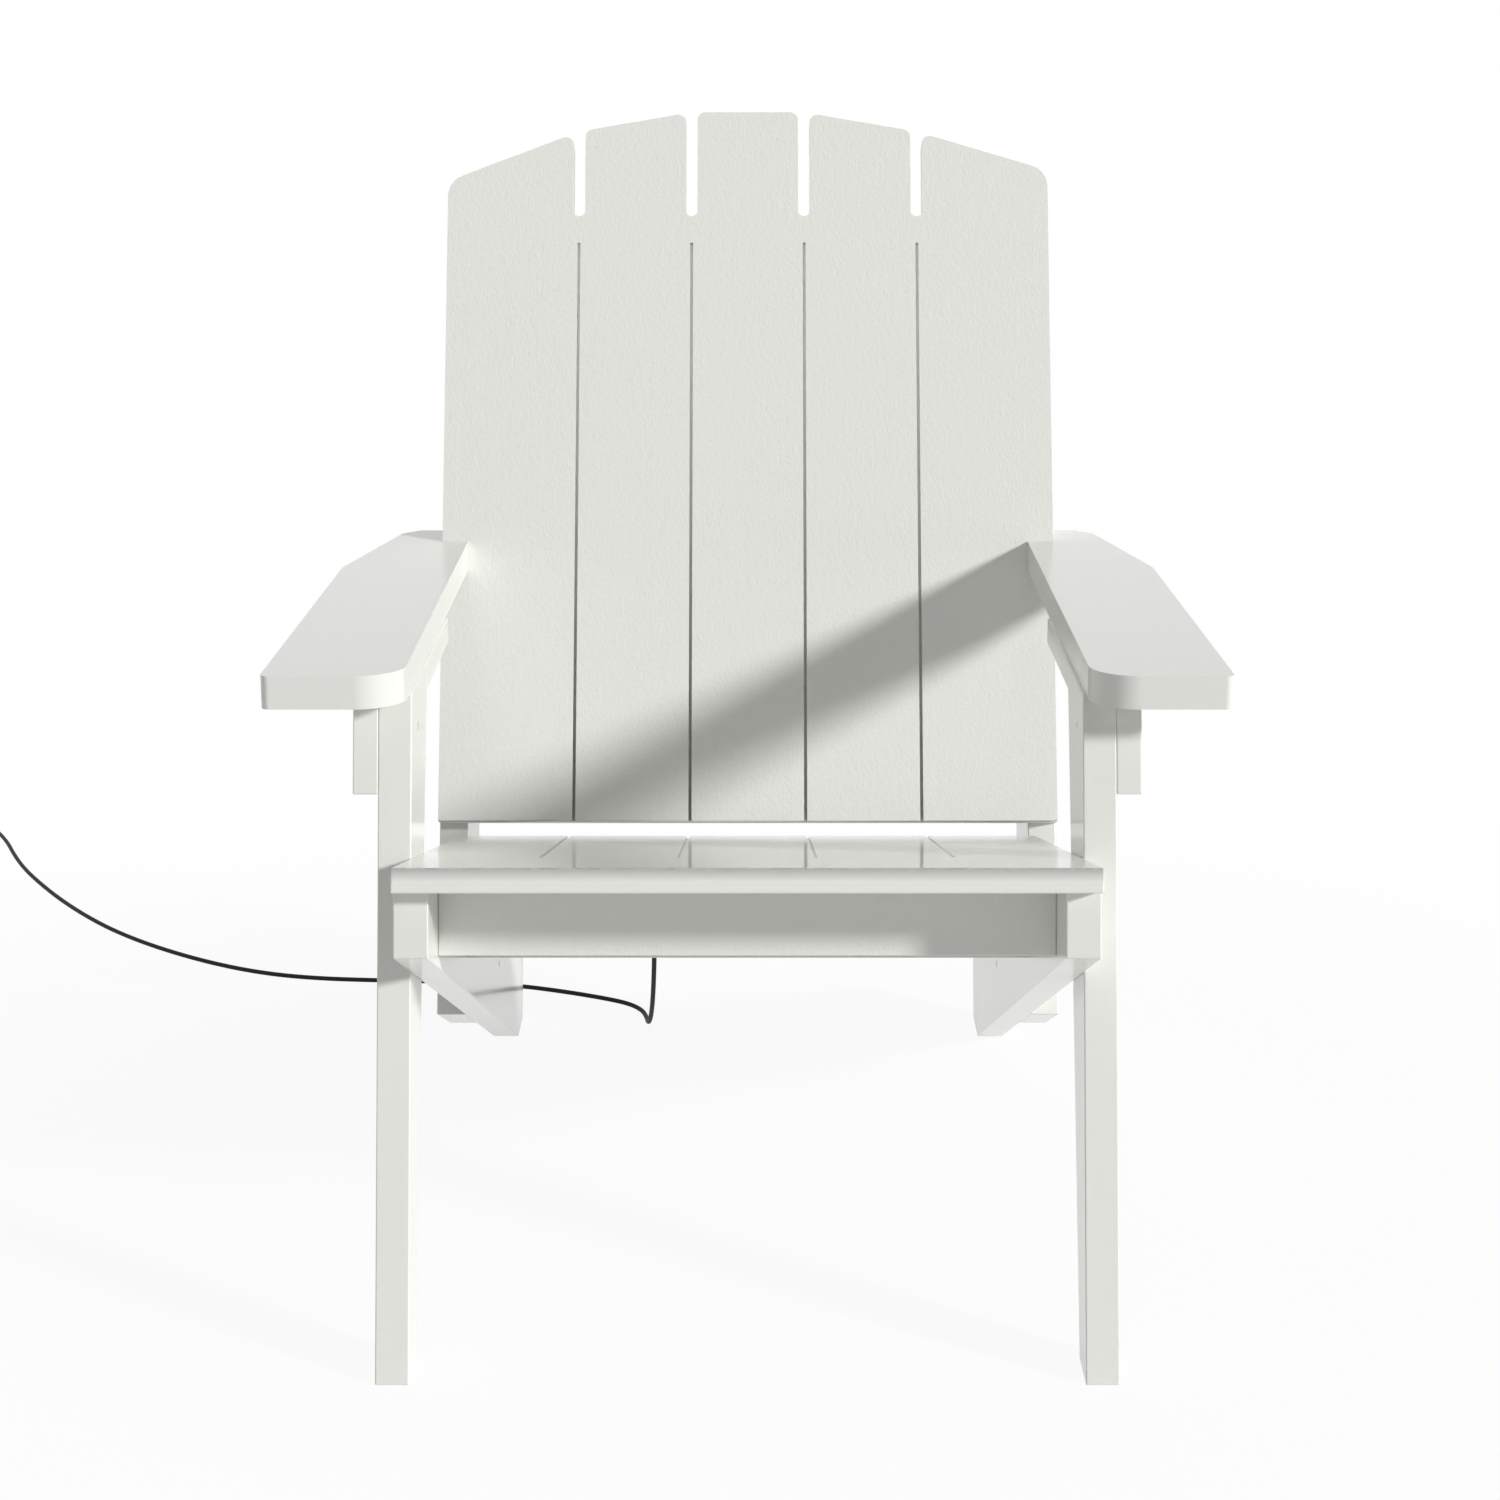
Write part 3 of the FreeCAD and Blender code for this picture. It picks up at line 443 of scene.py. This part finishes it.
made = {}
for name in ("back_panel", "seat_panel"):
    made[name] = rounded(name, 1.1 * MM, panel_weights(name), segments=3)
for side_name, side in SIDES:
    name = "arm_" + side_name
    low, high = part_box(name)

    def arm_weight(edge, low=low, high=high):
        level = [min(abs(vertex.co.z - low.z), abs(vertex.co.z - high.z)) < 0.1 * MM for vertex in edge.verts]
        return 1.0 if all(level) else 0.35

    made[name] = rounded(name, 1.2 * MM, arm_weight, segments=3)
made["seat_panel"].data.materials[0] = seat_white
for name, piece in made.items():
    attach(piece, "root")
    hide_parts(name)
    print(piece.name, len(piece.data.polygons), "faces")

# %% [markdown]
# Bolts, nuts and screws repeat all over the chair, so one Geometry Nodes tree makes them all, each
# kind with its own sizes. The places come from the CAD fasteners: every loose island of such a node
# gives one point and one direction. The tree turns a tapered head with a hexagon socket and a shank
# with threads, puts one on each point, and ends in Realize Instances and Set Material, because an
# export keeps only real meshes.

# %% Where the fasteners sit


def islands(name):
    """The loose pieces of a CAD node, each as a list of its points."""
    shape = bmesh.new()
    shape.from_mesh(frame["nodes"][name].data)
    bmesh.ops.remove_doubles(shape, verts=shape.verts, dist=1e-6)
    unseen = set(shape.verts)
    found = []
    while unseen:
        stack = [unseen.pop()]
        group = []
        while stack:
            vertex = stack.pop()
            group.append(vertex.co.copy())
            for edge in vertex.link_edges:
                other = edge.other_vert(vertex)
                if other in unseen:
                    unseen.remove(other)
                    stack.append(other)
        found.append(group)
    shape.free()
    return found


def end_slice(points, axis, far):
    """Centre and radius of the points at one end of an island, seen along the axis."""
    values = [point.dot(axis) for point in points]
    level = max(values) if far else min(values)
    near = [point for point, value in zip(points, values) if abs(value - level) < 0.4 * MM]
    centre = sum(near, Vector()) / len(near)
    return centre, max((point - centre).length for point in near)


def fastener_places(name, axis):
    """For each island: its outer end's centre, the way it faces, its length and its end's radius."""
    places = []
    for points in islands(name):
        ends = [end_slice(points, axis, far) for far in (True, False)]
        values = [point.dot(axis) for point in points]
        length = max(values) - min(values)
        if abs(axis.x) > 0.9:
            outward = ends[0][0].x > 0
        else:
            outward = ends[0][1] >= ends[1][1]
        centre, radius = ends[0] if outward else ends[1]
        places.append((centre, axis if outward else -axis, length, radius))
    return places


ACROSS = Vector((1, 0, 0))
print("leg bolts:", len(fastener_places("leg_bolts", ACROSS)))

# %% The node tree for bolts, nuts and screws


class Tree:
    """A small helper that adds Geometry nodes and links them in one call."""

    def __init__(self, name, sizes):
        self.tree = bpy.data.node_groups.new(name, "GeometryNodeTree")
        face = self.tree.interface
        face.new_socket("Geometry", in_out="INPUT", socket_type="NodeSocketGeometry")
        for label, value in sizes:
            face.new_socket(label, in_out="INPUT", socket_type="NodeSocketFloat").default_value = value
        face.new_socket("Material", in_out="INPUT", socket_type="NodeSocketMaterial")
        face.new_socket("Geometry", in_out="OUTPUT", socket_type="NodeSocketGeometry")
        self.given = self.tree.nodes.new("NodeGroupInput").outputs
        self.result = self.tree.nodes.new("NodeGroupOutput")

    def add(self, kind, links=(), **settings):
        """A node with its settings, its inputs given as (name or index, socket or value) pairs."""
        node = self.tree.nodes.new(kind)
        for label, value in settings.items():
            setattr(node, label, value)
        for label, value in links:
            if isinstance(value, bpy.types.NodeSocket):
                self.tree.links.new(value, node.inputs[label])
            else:
                node.inputs[label].default_value = value
        return node

    def math(self, operation, first, second=0.0):
        """A Math node's output."""
        return self.add("ShaderNodeMath", [(0, first), (1, second)], operation=operation).outputs[0]

    def split(self, vector):
        """The three parts of a vector."""
        return self.add("ShaderNodeSeparateXYZ", [(0, vector)]).outputs

    def position(self):
        return self.add("GeometryNodeInputPosition").outputs[0]

    def reshaped(self, mesh, share):
        """The mesh with its X and Y multiplied by a share that may change along Z."""
        x, y, z = self.split(self.position())
        moved = self.add("ShaderNodeCombineXYZ", [
            (0, self.math("MULTIPLY", x, share)), (1, self.math("MULTIPLY", y, share)), (2, z)])
        return self.add("GeometryNodeSetPosition", [
            ("Geometry", mesh), ("Position", moved.outputs[0])]).outputs[0]

    def shifted(self, mesh, height):
        """The mesh moved along Z."""
        offset = self.add("ShaderNodeCombineXYZ", [(2, height)])
        return self.add("GeometryNodeTransform", [
            ("Geometry", mesh), ("Translation", offset.outputs[0])]).outputs[0]

    def finish(self, mesh, flat=False):
        """One of the mesh on each point, turned to the point's facing, made real, with its material."""
        facing = self.add("GeometryNodeInputNamedAttribute", [("Name", "facing")], data_type="FLOAT_VECTOR")
        turn = self.add("FunctionNodeAlignRotationToVector", [("Vector", facing.outputs["Attribute"])], axis="Z")
        smooth = self.add("GeometryNodeSetShadeSmooth", [("Geometry", mesh), ("Shade Smooth", not flat)])
        placed = self.add("GeometryNodeInstanceOnPoints", [
            ("Points", self.given["Geometry"]), ("Instance", smooth.outputs[0]),
            ("Rotation", turn.outputs[0])])
        real = self.add("GeometryNodeRealizeInstances", [("Geometry", placed.outputs[0])])
        painted = self.add("GeometryNodeSetMaterial", [
            ("Geometry", real.outputs[0]), ("Material", self.given["Material"])])
        self.tree.links.new(painted.outputs[0], self.result.inputs["Geometry"])
        return self.tree


def near_centre(tree, given):
    """How far a point is from the head's axis, as a share of the head's radius."""
    x, y, _ = tree.split(tree.position())
    square = tree.math("ADD", tree.math("MULTIPLY", x, x), tree.math("MULTIPLY", y, y))
    return tree.math("DIVIDE", tree.math("SQRT", square), given["Head radius"])


def top_only(tree, given):
    """1 on the head's top face, 0 elsewhere."""
    along = tree.math("DIVIDE", tree.split(tree.position())[2], given["Head height"])
    return tree.math("GREATER_THAN", along, 0.48)


def bolt_tree():
    """A head with a hexagon socket, its top at the point, and a threaded shank behind it."""
    tree = Tree("socket_fastener", [
        ("Head radius", 0.007), ("Head height", 0.0036), ("Taper", 0.36), ("Socket depth", 0.0022),
        ("Shank radius", 0.0025), ("Length", 0.05), ("Thread pitch", 0.0008), ("Thread depth", 0.0003)])
    given = tree.given
    head = tree.add("GeometryNodeMeshCylinder", [
        ("Vertices", 36), ("Side Segments", 4), ("Fill Segments", 8), ("Radius", given["Head radius"]),
        ("Depth", given["Head height"])])
    x, y, z = tree.split(tree.position())
    along = tree.math("ADD", tree.math("DIVIDE", z, given["Head height"]), 0.5)
    taper = tree.add("ShaderNodeMix", [("Factor", along), ("A", given["Taper"]), ("B", 1.0)]).outputs[0]
    reach = tree.math("DIVIDE", tree.math("SQRT", tree.math(
        "ADD", tree.math("MULTIPLY", x, x), tree.math("MULTIPLY", y, y))), given["Head radius"])
    # the three inner rings of the top become a hexagon with nearly upright walls
    on_top = tree.math("GREATER_THAN", along, 0.98)
    inner = tree.math("MULTIPLY", on_top, tree.math("LESS_THAN", reach, 0.56))
    floor_part = tree.math("MULTIPLY", on_top, tree.math("LESS_THAN", reach, 0.44))
    turn = tree.math("ARCTAN2", y, x)
    sixth = tree.math("SUBTRACT", tree.math("FLOORED_MODULO", turn, math.pi / 3), math.pi / 6)
    hexagon = tree.math("DIVIDE", math.cos(math.pi / 6), tree.math("COSINE", sixth))
    rim = tree.math("MULTIPLY", tree.math("SUBTRACT", inner, floor_part), 0.2)
    inside = tree.math("MULTIPLY", tree.math("SUBTRACT", 1.08, rim), hexagon)
    share = tree.add("ShaderNodeMix", [("Factor", inner), ("A", taper), ("B", inside)]).outputs[0]
    shaped = tree.reshaped(head.outputs["Mesh"], share)
    sunk = tree.add("ShaderNodeCombineXYZ", [(2, tree.math(
        "MULTIPLY", tree.math("LESS_THAN", near_centre(tree, given), 0.5),
        tree.math("MULTIPLY", top_only(tree, given), tree.math("MULTIPLY", given["Socket depth"], -1.0))))])
    shaped = tree.add("GeometryNodeSetPosition", [("Geometry", shaped), ("Offset", sunk.outputs[0])]).outputs[0]
    shaped = tree.shifted(shaped, tree.math("MULTIPLY", given["Head height"], -0.5))
    shank_length = tree.math("SUBTRACT", given["Length"], given["Head height"])
    shank = tree.add("GeometryNodeMeshCylinder", [
        ("Vertices", 14), ("Side Segments", 90), ("Radius", given["Shank radius"]), ("Depth", shank_length)])
    height = tree.split(tree.position())[2]
    wave = tree.math("SINE", tree.math("DIVIDE", tree.math("MULTIPLY", height, 2 * math.pi),
                                       given["Thread pitch"]))
    cut = tree.math("DIVIDE", tree.math("MULTIPLY", tree.math("ADD", wave, -1.0),
                                        tree.math("MULTIPLY", given["Thread depth"], 0.5)),
                    given["Shank radius"])
    threaded = tree.reshaped(shank.outputs["Mesh"], tree.math("ADD", cut, 1.0))
    drop = tree.math("SUBTRACT", tree.math("MULTIPLY", shank_length, -0.5), given["Head height"])
    threaded = tree.shifted(threaded, drop)
    both = tree.add("GeometryNodeJoinGeometry")
    tree.tree.links.new(shaped, both.inputs[0])
    tree.tree.links.new(threaded, both.inputs[0])
    return tree.finish(both.outputs[0], flat=True)


SOCKET_FASTENER = bolt_tree()
print("node tree:", SOCKET_FASTENER.name)

# %% Put the fasteners in place


def merged(name, *things):
    """Several objects' meshes as one object."""
    shape = bmesh.new()
    for thing in things:
        shape.from_mesh(thing.data)
        bpy.data.objects.remove(thing)
    mesh = bpy.data.meshes.new(name)
    shape.to_mesh(mesh)
    shape.free()
    whole = bpy.data.objects.new(name, mesh)
    scene.collection.objects.link(whole)
    return whole


def repeated(name, tree, places, sizes, material):
    """A plain mesh of one tree's result on the given places."""
    mesh = bpy.data.meshes.new(name + "_points")
    mesh.from_pydata([tuple(centre) for centre, _, _, _ in places], [], [])
    facing = mesh.attributes.new("facing", "FLOAT_VECTOR", "POINT")
    for value, (_, way, _, _) in zip(facing.data, places):
        value.vector = way
    thing = bpy.data.objects.new(name + "_made", mesh)
    scene.collection.objects.link(thing)
    maker = thing.modifiers.new("maker", "NODES")
    maker.node_group = tree
    for item in tree.interface.items_tree:
        if item.in_out != "INPUT" or item.name == "Geometry":
            continue
        maker[item.identifier] = material if item.name == "Material" else sizes.get(item.name, item.default_value)
    depsgraph = bpy.context.evaluated_depsgraph_get()
    real = bpy.data.meshes.new_from_object(thing.evaluated_get(depsgraph))
    thing.modifiers.clear()
    thing.data = real
    real.name = thing.name
    return thing


BOLT = {"Head radius": 0.007, "Head height": 0.0036, "Taper": 0.36}
NUT = {"Head radius": 0.0036, "Taper": 1.0, "Socket depth": 0.0018, "Shank radius": 0.0008}
for kind in ("leg", "upright", "bracket"):
    bolts = fastener_places(kind + "_bolts", ACROSS)
    nuts = [(centre - way * length, -way, length, radius)
            for centre, way, length, radius in fastener_places(kind + "_nuts", ACROSS)]
    bolt_groups = {}
    for place in bolts:
        bolt_groups.setdefault(round(place[2], 4), []).append(place)
    rows = [(kind + "_bolts", [(places, {**BOLT, "Length": length}) for length, places in bolt_groups.items()]),
            (kind + "_nuts", [(nuts, {**NUT, "Head height": nuts[0][2], "Length": nuts[0][2] + 0.0001})])]
    for node, groups in rows:
        piece = merged(node + "_made", *[
            repeated(f"{node}_{number}", SOCKET_FASTENER, places, sizes, steel)
            for number, (places, sizes) in enumerate(groups)])
        piece.data.materials.append(steel)
        made[node] = piece
        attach(piece, "root")
        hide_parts(node)
        print(piece.name, sum(len(places) for places, _ in groups), "pieces", len(piece.data.polygons), "faces")

# %% [markdown]
# The screws are small dome-headed ones that hold the panels from behind and from below. They come
# from the same tree as the bolts, with smaller sizes and a coarser thread.

# %% Screws
UP = Vector((0, 0, 1))
SCREWS = {
    "back_screws": sheet_direction("back_panel"),
    "seat_screws": sheet_direction("seat_panel"),
    "arm_screws": UP,
}
for node, axis in SCREWS.items():
    groups = {}
    for place in fastener_places(node, axis):
        groups.setdefault(round(place[2], 3), []).append(place)
    parts = []
    for length, places in groups.items():
        sizes = {"Head radius": 0.0044, "Head height": 0.0026, "Taper": 0.9, "Socket depth": 0.0016,
                 "Shank radius": 0.0022, "Length": length, "Thread pitch": 0.0019, "Thread depth": 0.0006}
        parts.append(repeated(f"{node}_{len(parts)}", SOCKET_FASTENER, places, sizes, steel))
    piece = merged(node + "_made", *parts)
    piece.data.materials.append(steel)
    made[node] = piece
    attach(piece, "root")
    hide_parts(node)
    print(piece.name, {length: len(places) for length, places in groups.items()})

# %% [markdown]
# The plug is moulded rubber. Its CAD solid already has the right size, so the detailed one is built
# in the same place: a body with rounded edges and finger grooves, and a ribbed relief where the lead
# goes in. A ring with a varying radius, swept along the lead's own end, gives the relief.

# %% The lead's last stretch, read from its spline


def centre_line(thing):
    """Points along a curve's middle line, from its mesh with no bevel."""
    depth = thing.data.bevel_depth
    thing.data.bevel_depth = 0
    depsgraph = bpy.context.evaluated_depsgraph_get()
    mesh = bpy.data.meshes.new_from_object(thing.evaluated_get(depsgraph))
    thing.data.bevel_depth = depth
    points = [vertex.co.copy() for vertex in mesh.vertices]
    bpy.data.meshes.remove(mesh)
    return points


lead_line = centre_line(lead)
start_way = (lead_line[1] - lead_line[0]).normalized()
end_way = (lead_line[-1] - lead_line[-2]).normalized()
print("lead line:", len(lead_line), "points; leaves towards", tuple(round(v, 2) for v in start_way))


def turned_piece(name, base, way, sections, spokes=32):
    """A closed surface of revolution: sections are (distance along the way, radius)."""
    way = way.normalized()
    side = way.cross(Vector((0, 0, 1)) if abs(way.z) < 0.9 else Vector((0, 1, 0))).normalized()
    other = way.cross(side)
    shape = bmesh.new()
    rings = []
    for distance, radius in sections:
        rings.append([shape.verts.new(base + way * distance + (
            side * math.cos(2 * math.pi * k / spokes) + other * math.sin(2 * math.pi * k / spokes)) * radius)
            for k in range(spokes)])
    for low, high in zip(rings, rings[1:]):
        for k in range(spokes):
            shape.faces.new((low[k], low[(k + 1) % spokes], high[(k + 1) % spokes], high[k]))
    shape.faces.new(list(reversed(rings[0])))
    shape.faces.new(rings[-1])
    bmesh.ops.recalc_face_normals(shape, faces=shape.faces)
    mesh = bpy.data.meshes.new(name)
    shape.to_mesh(mesh)
    shape.free()
    for polygon in mesh.polygons:
        polygon.use_smooth = True
    thing = bpy.data.objects.new(name, mesh)
    scene.collection.objects.link(thing)
    return thing


# %% [markdown]
# A cable gland grips the lead where it leaves the power box: a hexagon collar, a ribbed grip and a
# tapered sleeve that lets the lead bend only gently. It is a turned piece, so a list of distances
# and radii describes it.

# %% Gland
gland_low, gland_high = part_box("cable_gland")
gland_tip = Vector(LEAD_ROUTE[0])
gland_points = [vertex.co.copy() for vertex in frame["nodes"]["cable_gland"].data.vertices]
gland_reach = max((gland_tip - point).dot(start_way) for point in gland_points)
gland_over = max((point - gland_tip).dot(start_way) for point in gland_points)
gland_wide = max(((point - gland_tip) - start_way * (point - gland_tip).dot(start_way)).length
                 for point in gland_points)
print("gland reaches back", round(gland_reach, 4), "over", round(gland_over, 4), "radius", round(gland_wide, 4))

# %% Build the gland


SLEEVE = 26 * MM
COLLAR = 8 * MM
NECK = 5 * MM
radius = LEAD_DIAMETER / 2
sleeve_rings = [(0.0, radius + 0.5 * MM), (0.4 * MM, radius + 1.0 * MM)]
for step in range(8):
    start = 1.2 * MM + step * 3.0 * MM
    wide = radius + 1.1 * MM + (start / SLEEVE) * 2.2 * MM
    sleeve_rings += [(start, wide), (start + 1.7 * MM, wide + 0.15 * MM),
                     (start + 2.0 * MM, wide - 0.6 * MM), (start + 2.7 * MM, wide - 0.6 * MM)]
sleeve_rings += [(SLEEVE, radius + 3.4 * MM), (SLEEVE + COLLAR + NECK, radius + 3.4 * MM)]
back_way = -start_way
sleeve = turned_piece("gland_sleeve", gland_tip, back_way, sleeve_rings)
collar_rings = [(SLEEVE - 0.4 * MM, radius + 4.6 * MM), (SLEEVE + 0.6 * MM, radius + 6 * MM),
                (SLEEVE + COLLAR - 1.2 * MM, radius + 6 * MM), (SLEEVE + COLLAR, radius + 5.4 * MM)]
collar = turned_piece("gland_collar", gland_tip, back_way, collar_rings, spokes=6)
for polygon in collar.data.polygons:
    polygon.use_smooth = False
gland = merged("gland_moulded", sleeve, collar)
gland.data.materials.append(gland_black)
made["cable_gland"] = gland
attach(gland, "root")
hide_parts("cable_gland")
print("gland:", len(gland.data.polygons), "faces")

# %% [markdown]
# The plug's body is a stack of rings that start round, at the relief, and become a rounded
# rectangle. A superellipse does that with one number: 2 is an ellipse, and 5 is nearly a box.

# %% Build the plug
plug_start = Vector(LEAD_ROUTE[-1])
plug_way = (plug_start - Vector(LEAD_ROUTE[-2])).normalized()
plug_side = plug_way.cross(Vector((0, 0, 1))).normalized()
plug_up = plug_side.cross(plug_way).normalized()


def soft_rectangle(centre, wide, high, square, spokes=48):
    """Points of a superellipse ring across the plug's way."""
    ring = []
    for k in range(spokes):
        turn = 2 * math.pi * k / spokes
        c, s = math.cos(turn), math.sin(turn)
        ring.append(centre + plug_side * math.copysign(abs(c) ** (2 / square), c) * wide
                    + plug_up * math.copysign(abs(s) ** (2 / square), s) * high)
    return ring


plug_sections = [(0.0, 2.6, 2.6, 2.0), (0.5, 3.3, 3.3, 2.0)]
for step in range(5):
    start = 1.5 + step * 4.2
    wide = 3.4 + start * 0.105
    plug_sections += [(start, wide, wide, 2.0), (start + 2.6, wide + 0.2, wide + 0.2, 2.0),
                      (start + 3.0, wide - 0.7, wide - 0.7, 2.0), (start + 3.8, wide - 0.7, wide - 0.7, 2.0)]
plug_sections += [(22.8, 6.4, 5.6, 2.2), (24.2, 9.6, 7.0, 3.0), (26.0, 11.4, 7.9, 3.8), (28.5, 12.2, 8.3, 4.4),
                  (31.0, 12.4, 8.4, 5.0)]
for step in range(4):
    start = 33.0 + step * 3.0
    plug_sections += [(start, 12.4, 8.4, 5.0), (start + 0.5, 12.2, 7.7, 5.0), (start + 1.3, 12.2, 7.7, 5.0),
                      (start + 1.8, 12.4, 8.4, 5.0)]
plug_sections += [(48.0, 12.4, 8.4, 5.0), (51.4, 12.4, 8.4, 5.0), (52.5, 12.0, 8.0, 4.6), (53.0, 11.2, 7.2, 4.2)]
shape = bmesh.new()
rings = []
for distance, wide, high, square in plug_sections:
    ring = soft_rectangle(plug_start + plug_way * distance * MM, wide * MM, high * MM, square)
    rings.append([shape.verts.new(point) for point in ring])
for low, high in zip(rings, rings[1:]):
    for k in range(len(low)):
        shape.faces.new((low[k], low[(k + 1) % len(low)], high[(k + 1) % len(low)], high[k]))
shape.faces.new(list(reversed(rings[0])))
shape.faces.new(rings[-1])
bmesh.ops.recalc_face_normals(shape, faces=shape.faces)
mesh = bpy.data.meshes.new("plug_moulded")
shape.to_mesh(mesh)
shape.free()
for polygon in mesh.polygons:
    polygon.use_smooth = len(polygon.vertices) == 4
plug = bpy.data.objects.new("plug_moulded", mesh)
scene.collection.objects.link(plug)
plug.data.materials.append(plug_black)
blades = rounded("plug_pins", 0.35 * MM, lambda edge: 1.0, segments=2)
for piece, node in ((plug, "plug_body"), (blades, "plug_pins")):
    made[node] = piece
    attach(piece, "root")
    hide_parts(node)
print("plug:", len(plug.data.polygons), "faces; blades:", len(blades.data.polygons))

# %% [markdown]
# Now the lead's real length is measured along its line and printed.

lead_length = sum((b - a).length for a, b in zip(lead_line, lead_line[1:]))
print("lead length", round(lead_length, 4))
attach(lead, "root")
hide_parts("power_cord")

# %% [markdown]
# The studio: a pale floor, a large soft lamp from the right and front, and an even white world that
# fills the shadows. The floor and the world show as plain white to the camera and in reflections,
# and the floor still takes the chair's shadow, because only part of its brightness is its own.

# %% Floor
FLOOR_REACH = 60.0
OWN_WHITE = 0.93
floor_mesh = bpy.data.meshes.new("floor")
floor_mesh.from_pydata([(-FLOOR_REACH, -FLOOR_REACH, 0), (FLOOR_REACH, -FLOOR_REACH, 0),
                        (FLOOR_REACH, FLOOR_REACH, 0), (-FLOOR_REACH, FLOOR_REACH, 0)], [], [(0, 1, 2, 3)])
floor = bpy.data.objects.new("floor", floor_mesh)
scene.collection.objects.link(floor)
floor_white = bpy.data.materials.new("floor_white")
floor_white.use_nodes = True
tree = floor_white.node_tree
tree.nodes.remove(tree.nodes["Principled BSDF"])
output = tree.nodes["Material Output"]
matt = tree.nodes.new("ShaderNodeBsdfDiffuse")
matt.inputs["Color"].default_value = (0.93, 0.93, 0.93, 1)
far = tree.nodes.new("ShaderNodeMixShader")
white = tree.nodes.new("ShaderNodeEmission")
white.inputs["Color"].default_value = (1, 1, 1, 1)
light_path = tree.nodes.new("ShaderNodeLightPath")
seen = math_node(tree, "MAXIMUM", light_path.outputs["Is Camera Ray"],
                 math_node(tree, "MAXIMUM", light_path.outputs["Is Glossy Ray"],
                           light_path.outputs["Is Transmission Ray"]))
coordinates = tree.nodes.new("ShaderNodeTexCoord")
length = tree.nodes.new("ShaderNodeVectorMath")
length.operation = "LENGTH"
tree.links.new(coordinates.outputs["Object"], length.inputs[0])
reach = tree.nodes.new("ShaderNodeMapRange")
reach.interpolation_type = "SMOOTHSTEP"
reach.inputs["From Min"].default_value = 0.5
reach.inputs["From Max"].default_value = 1.6
reach.inputs["To Min"].default_value = OWN_WHITE
tree.links.new(length.outputs["Value"], reach.inputs["Value"])
tree.links.new(math_node(tree, "MULTIPLY", reach.outputs[0], seen), far.inputs["Fac"])
tree.links.new(matt.outputs[0], far.inputs[1])
tree.links.new(white.outputs[0], far.inputs[2])
tree.links.new(far.outputs[0], output.inputs["Surface"])
floor.data.materials.append(floor_white)
print("floor reaches", FLOOR_REACH, "m each way")

# %% World and lamp
world = bpy.data.worlds.new("studio")
world.use_nodes = True
scene.world = world
tree = world.node_tree
fill = tree.nodes["Background"]
fill.inputs["Color"].default_value = (0.965, 1.0, 1.01, 1)
fill.inputs["Strength"].default_value = 0.07
plain = tree.nodes.new("ShaderNodeBackground")
plain.inputs["Color"].default_value = (1, 1, 1, 1)
plain.inputs["Strength"].default_value = 1.0
chosen = tree.nodes.new("ShaderNodeMixShader")
light_path = tree.nodes.new("ShaderNodeLightPath")
seen = math_node(tree, "MAXIMUM", light_path.outputs["Is Camera Ray"],
                 math_node(tree, "MAXIMUM", light_path.outputs["Is Glossy Ray"],
                           light_path.outputs["Is Transmission Ray"]))
tree.links.new(seen, chosen.inputs["Fac"])
tree.links.new(fill.outputs[0], chosen.inputs[1])
tree.links.new(plain.outputs[0], chosen.inputs[2])
tree.links.new(chosen.outputs[0], tree.nodes["World Output"].inputs["Surface"])


def sun(name, way, strength, spread):
    """A distant soft lamp that shines from the given way."""
    data = bpy.data.lights.new(name, "SUN")
    data.energy = strength
    data.angle = math.radians(spread)
    thing = bpy.data.objects.new(name, data)
    thing.rotation_euler = Vector(way).to_track_quat("Z", "Y").to_euler()
    thing.location = Vector(way).normalized() * 4
    scene.collection.objects.link(thing)
    return thing


sun("key", (0.805, -0.458, 0.377), 3.05, 7)
sun("side fill", (0.80, -0.40, 0.45), 0.35, 90)
sun("top fill", (0.0, 0.1, 1.0), 0.45, 50)
sun("low fill", (-1.0, -0.3, 0.2), 0.38, 60)
scene.view_settings.view_transform = "Standard"
print("world fill", fill.inputs["Strength"].default_value)
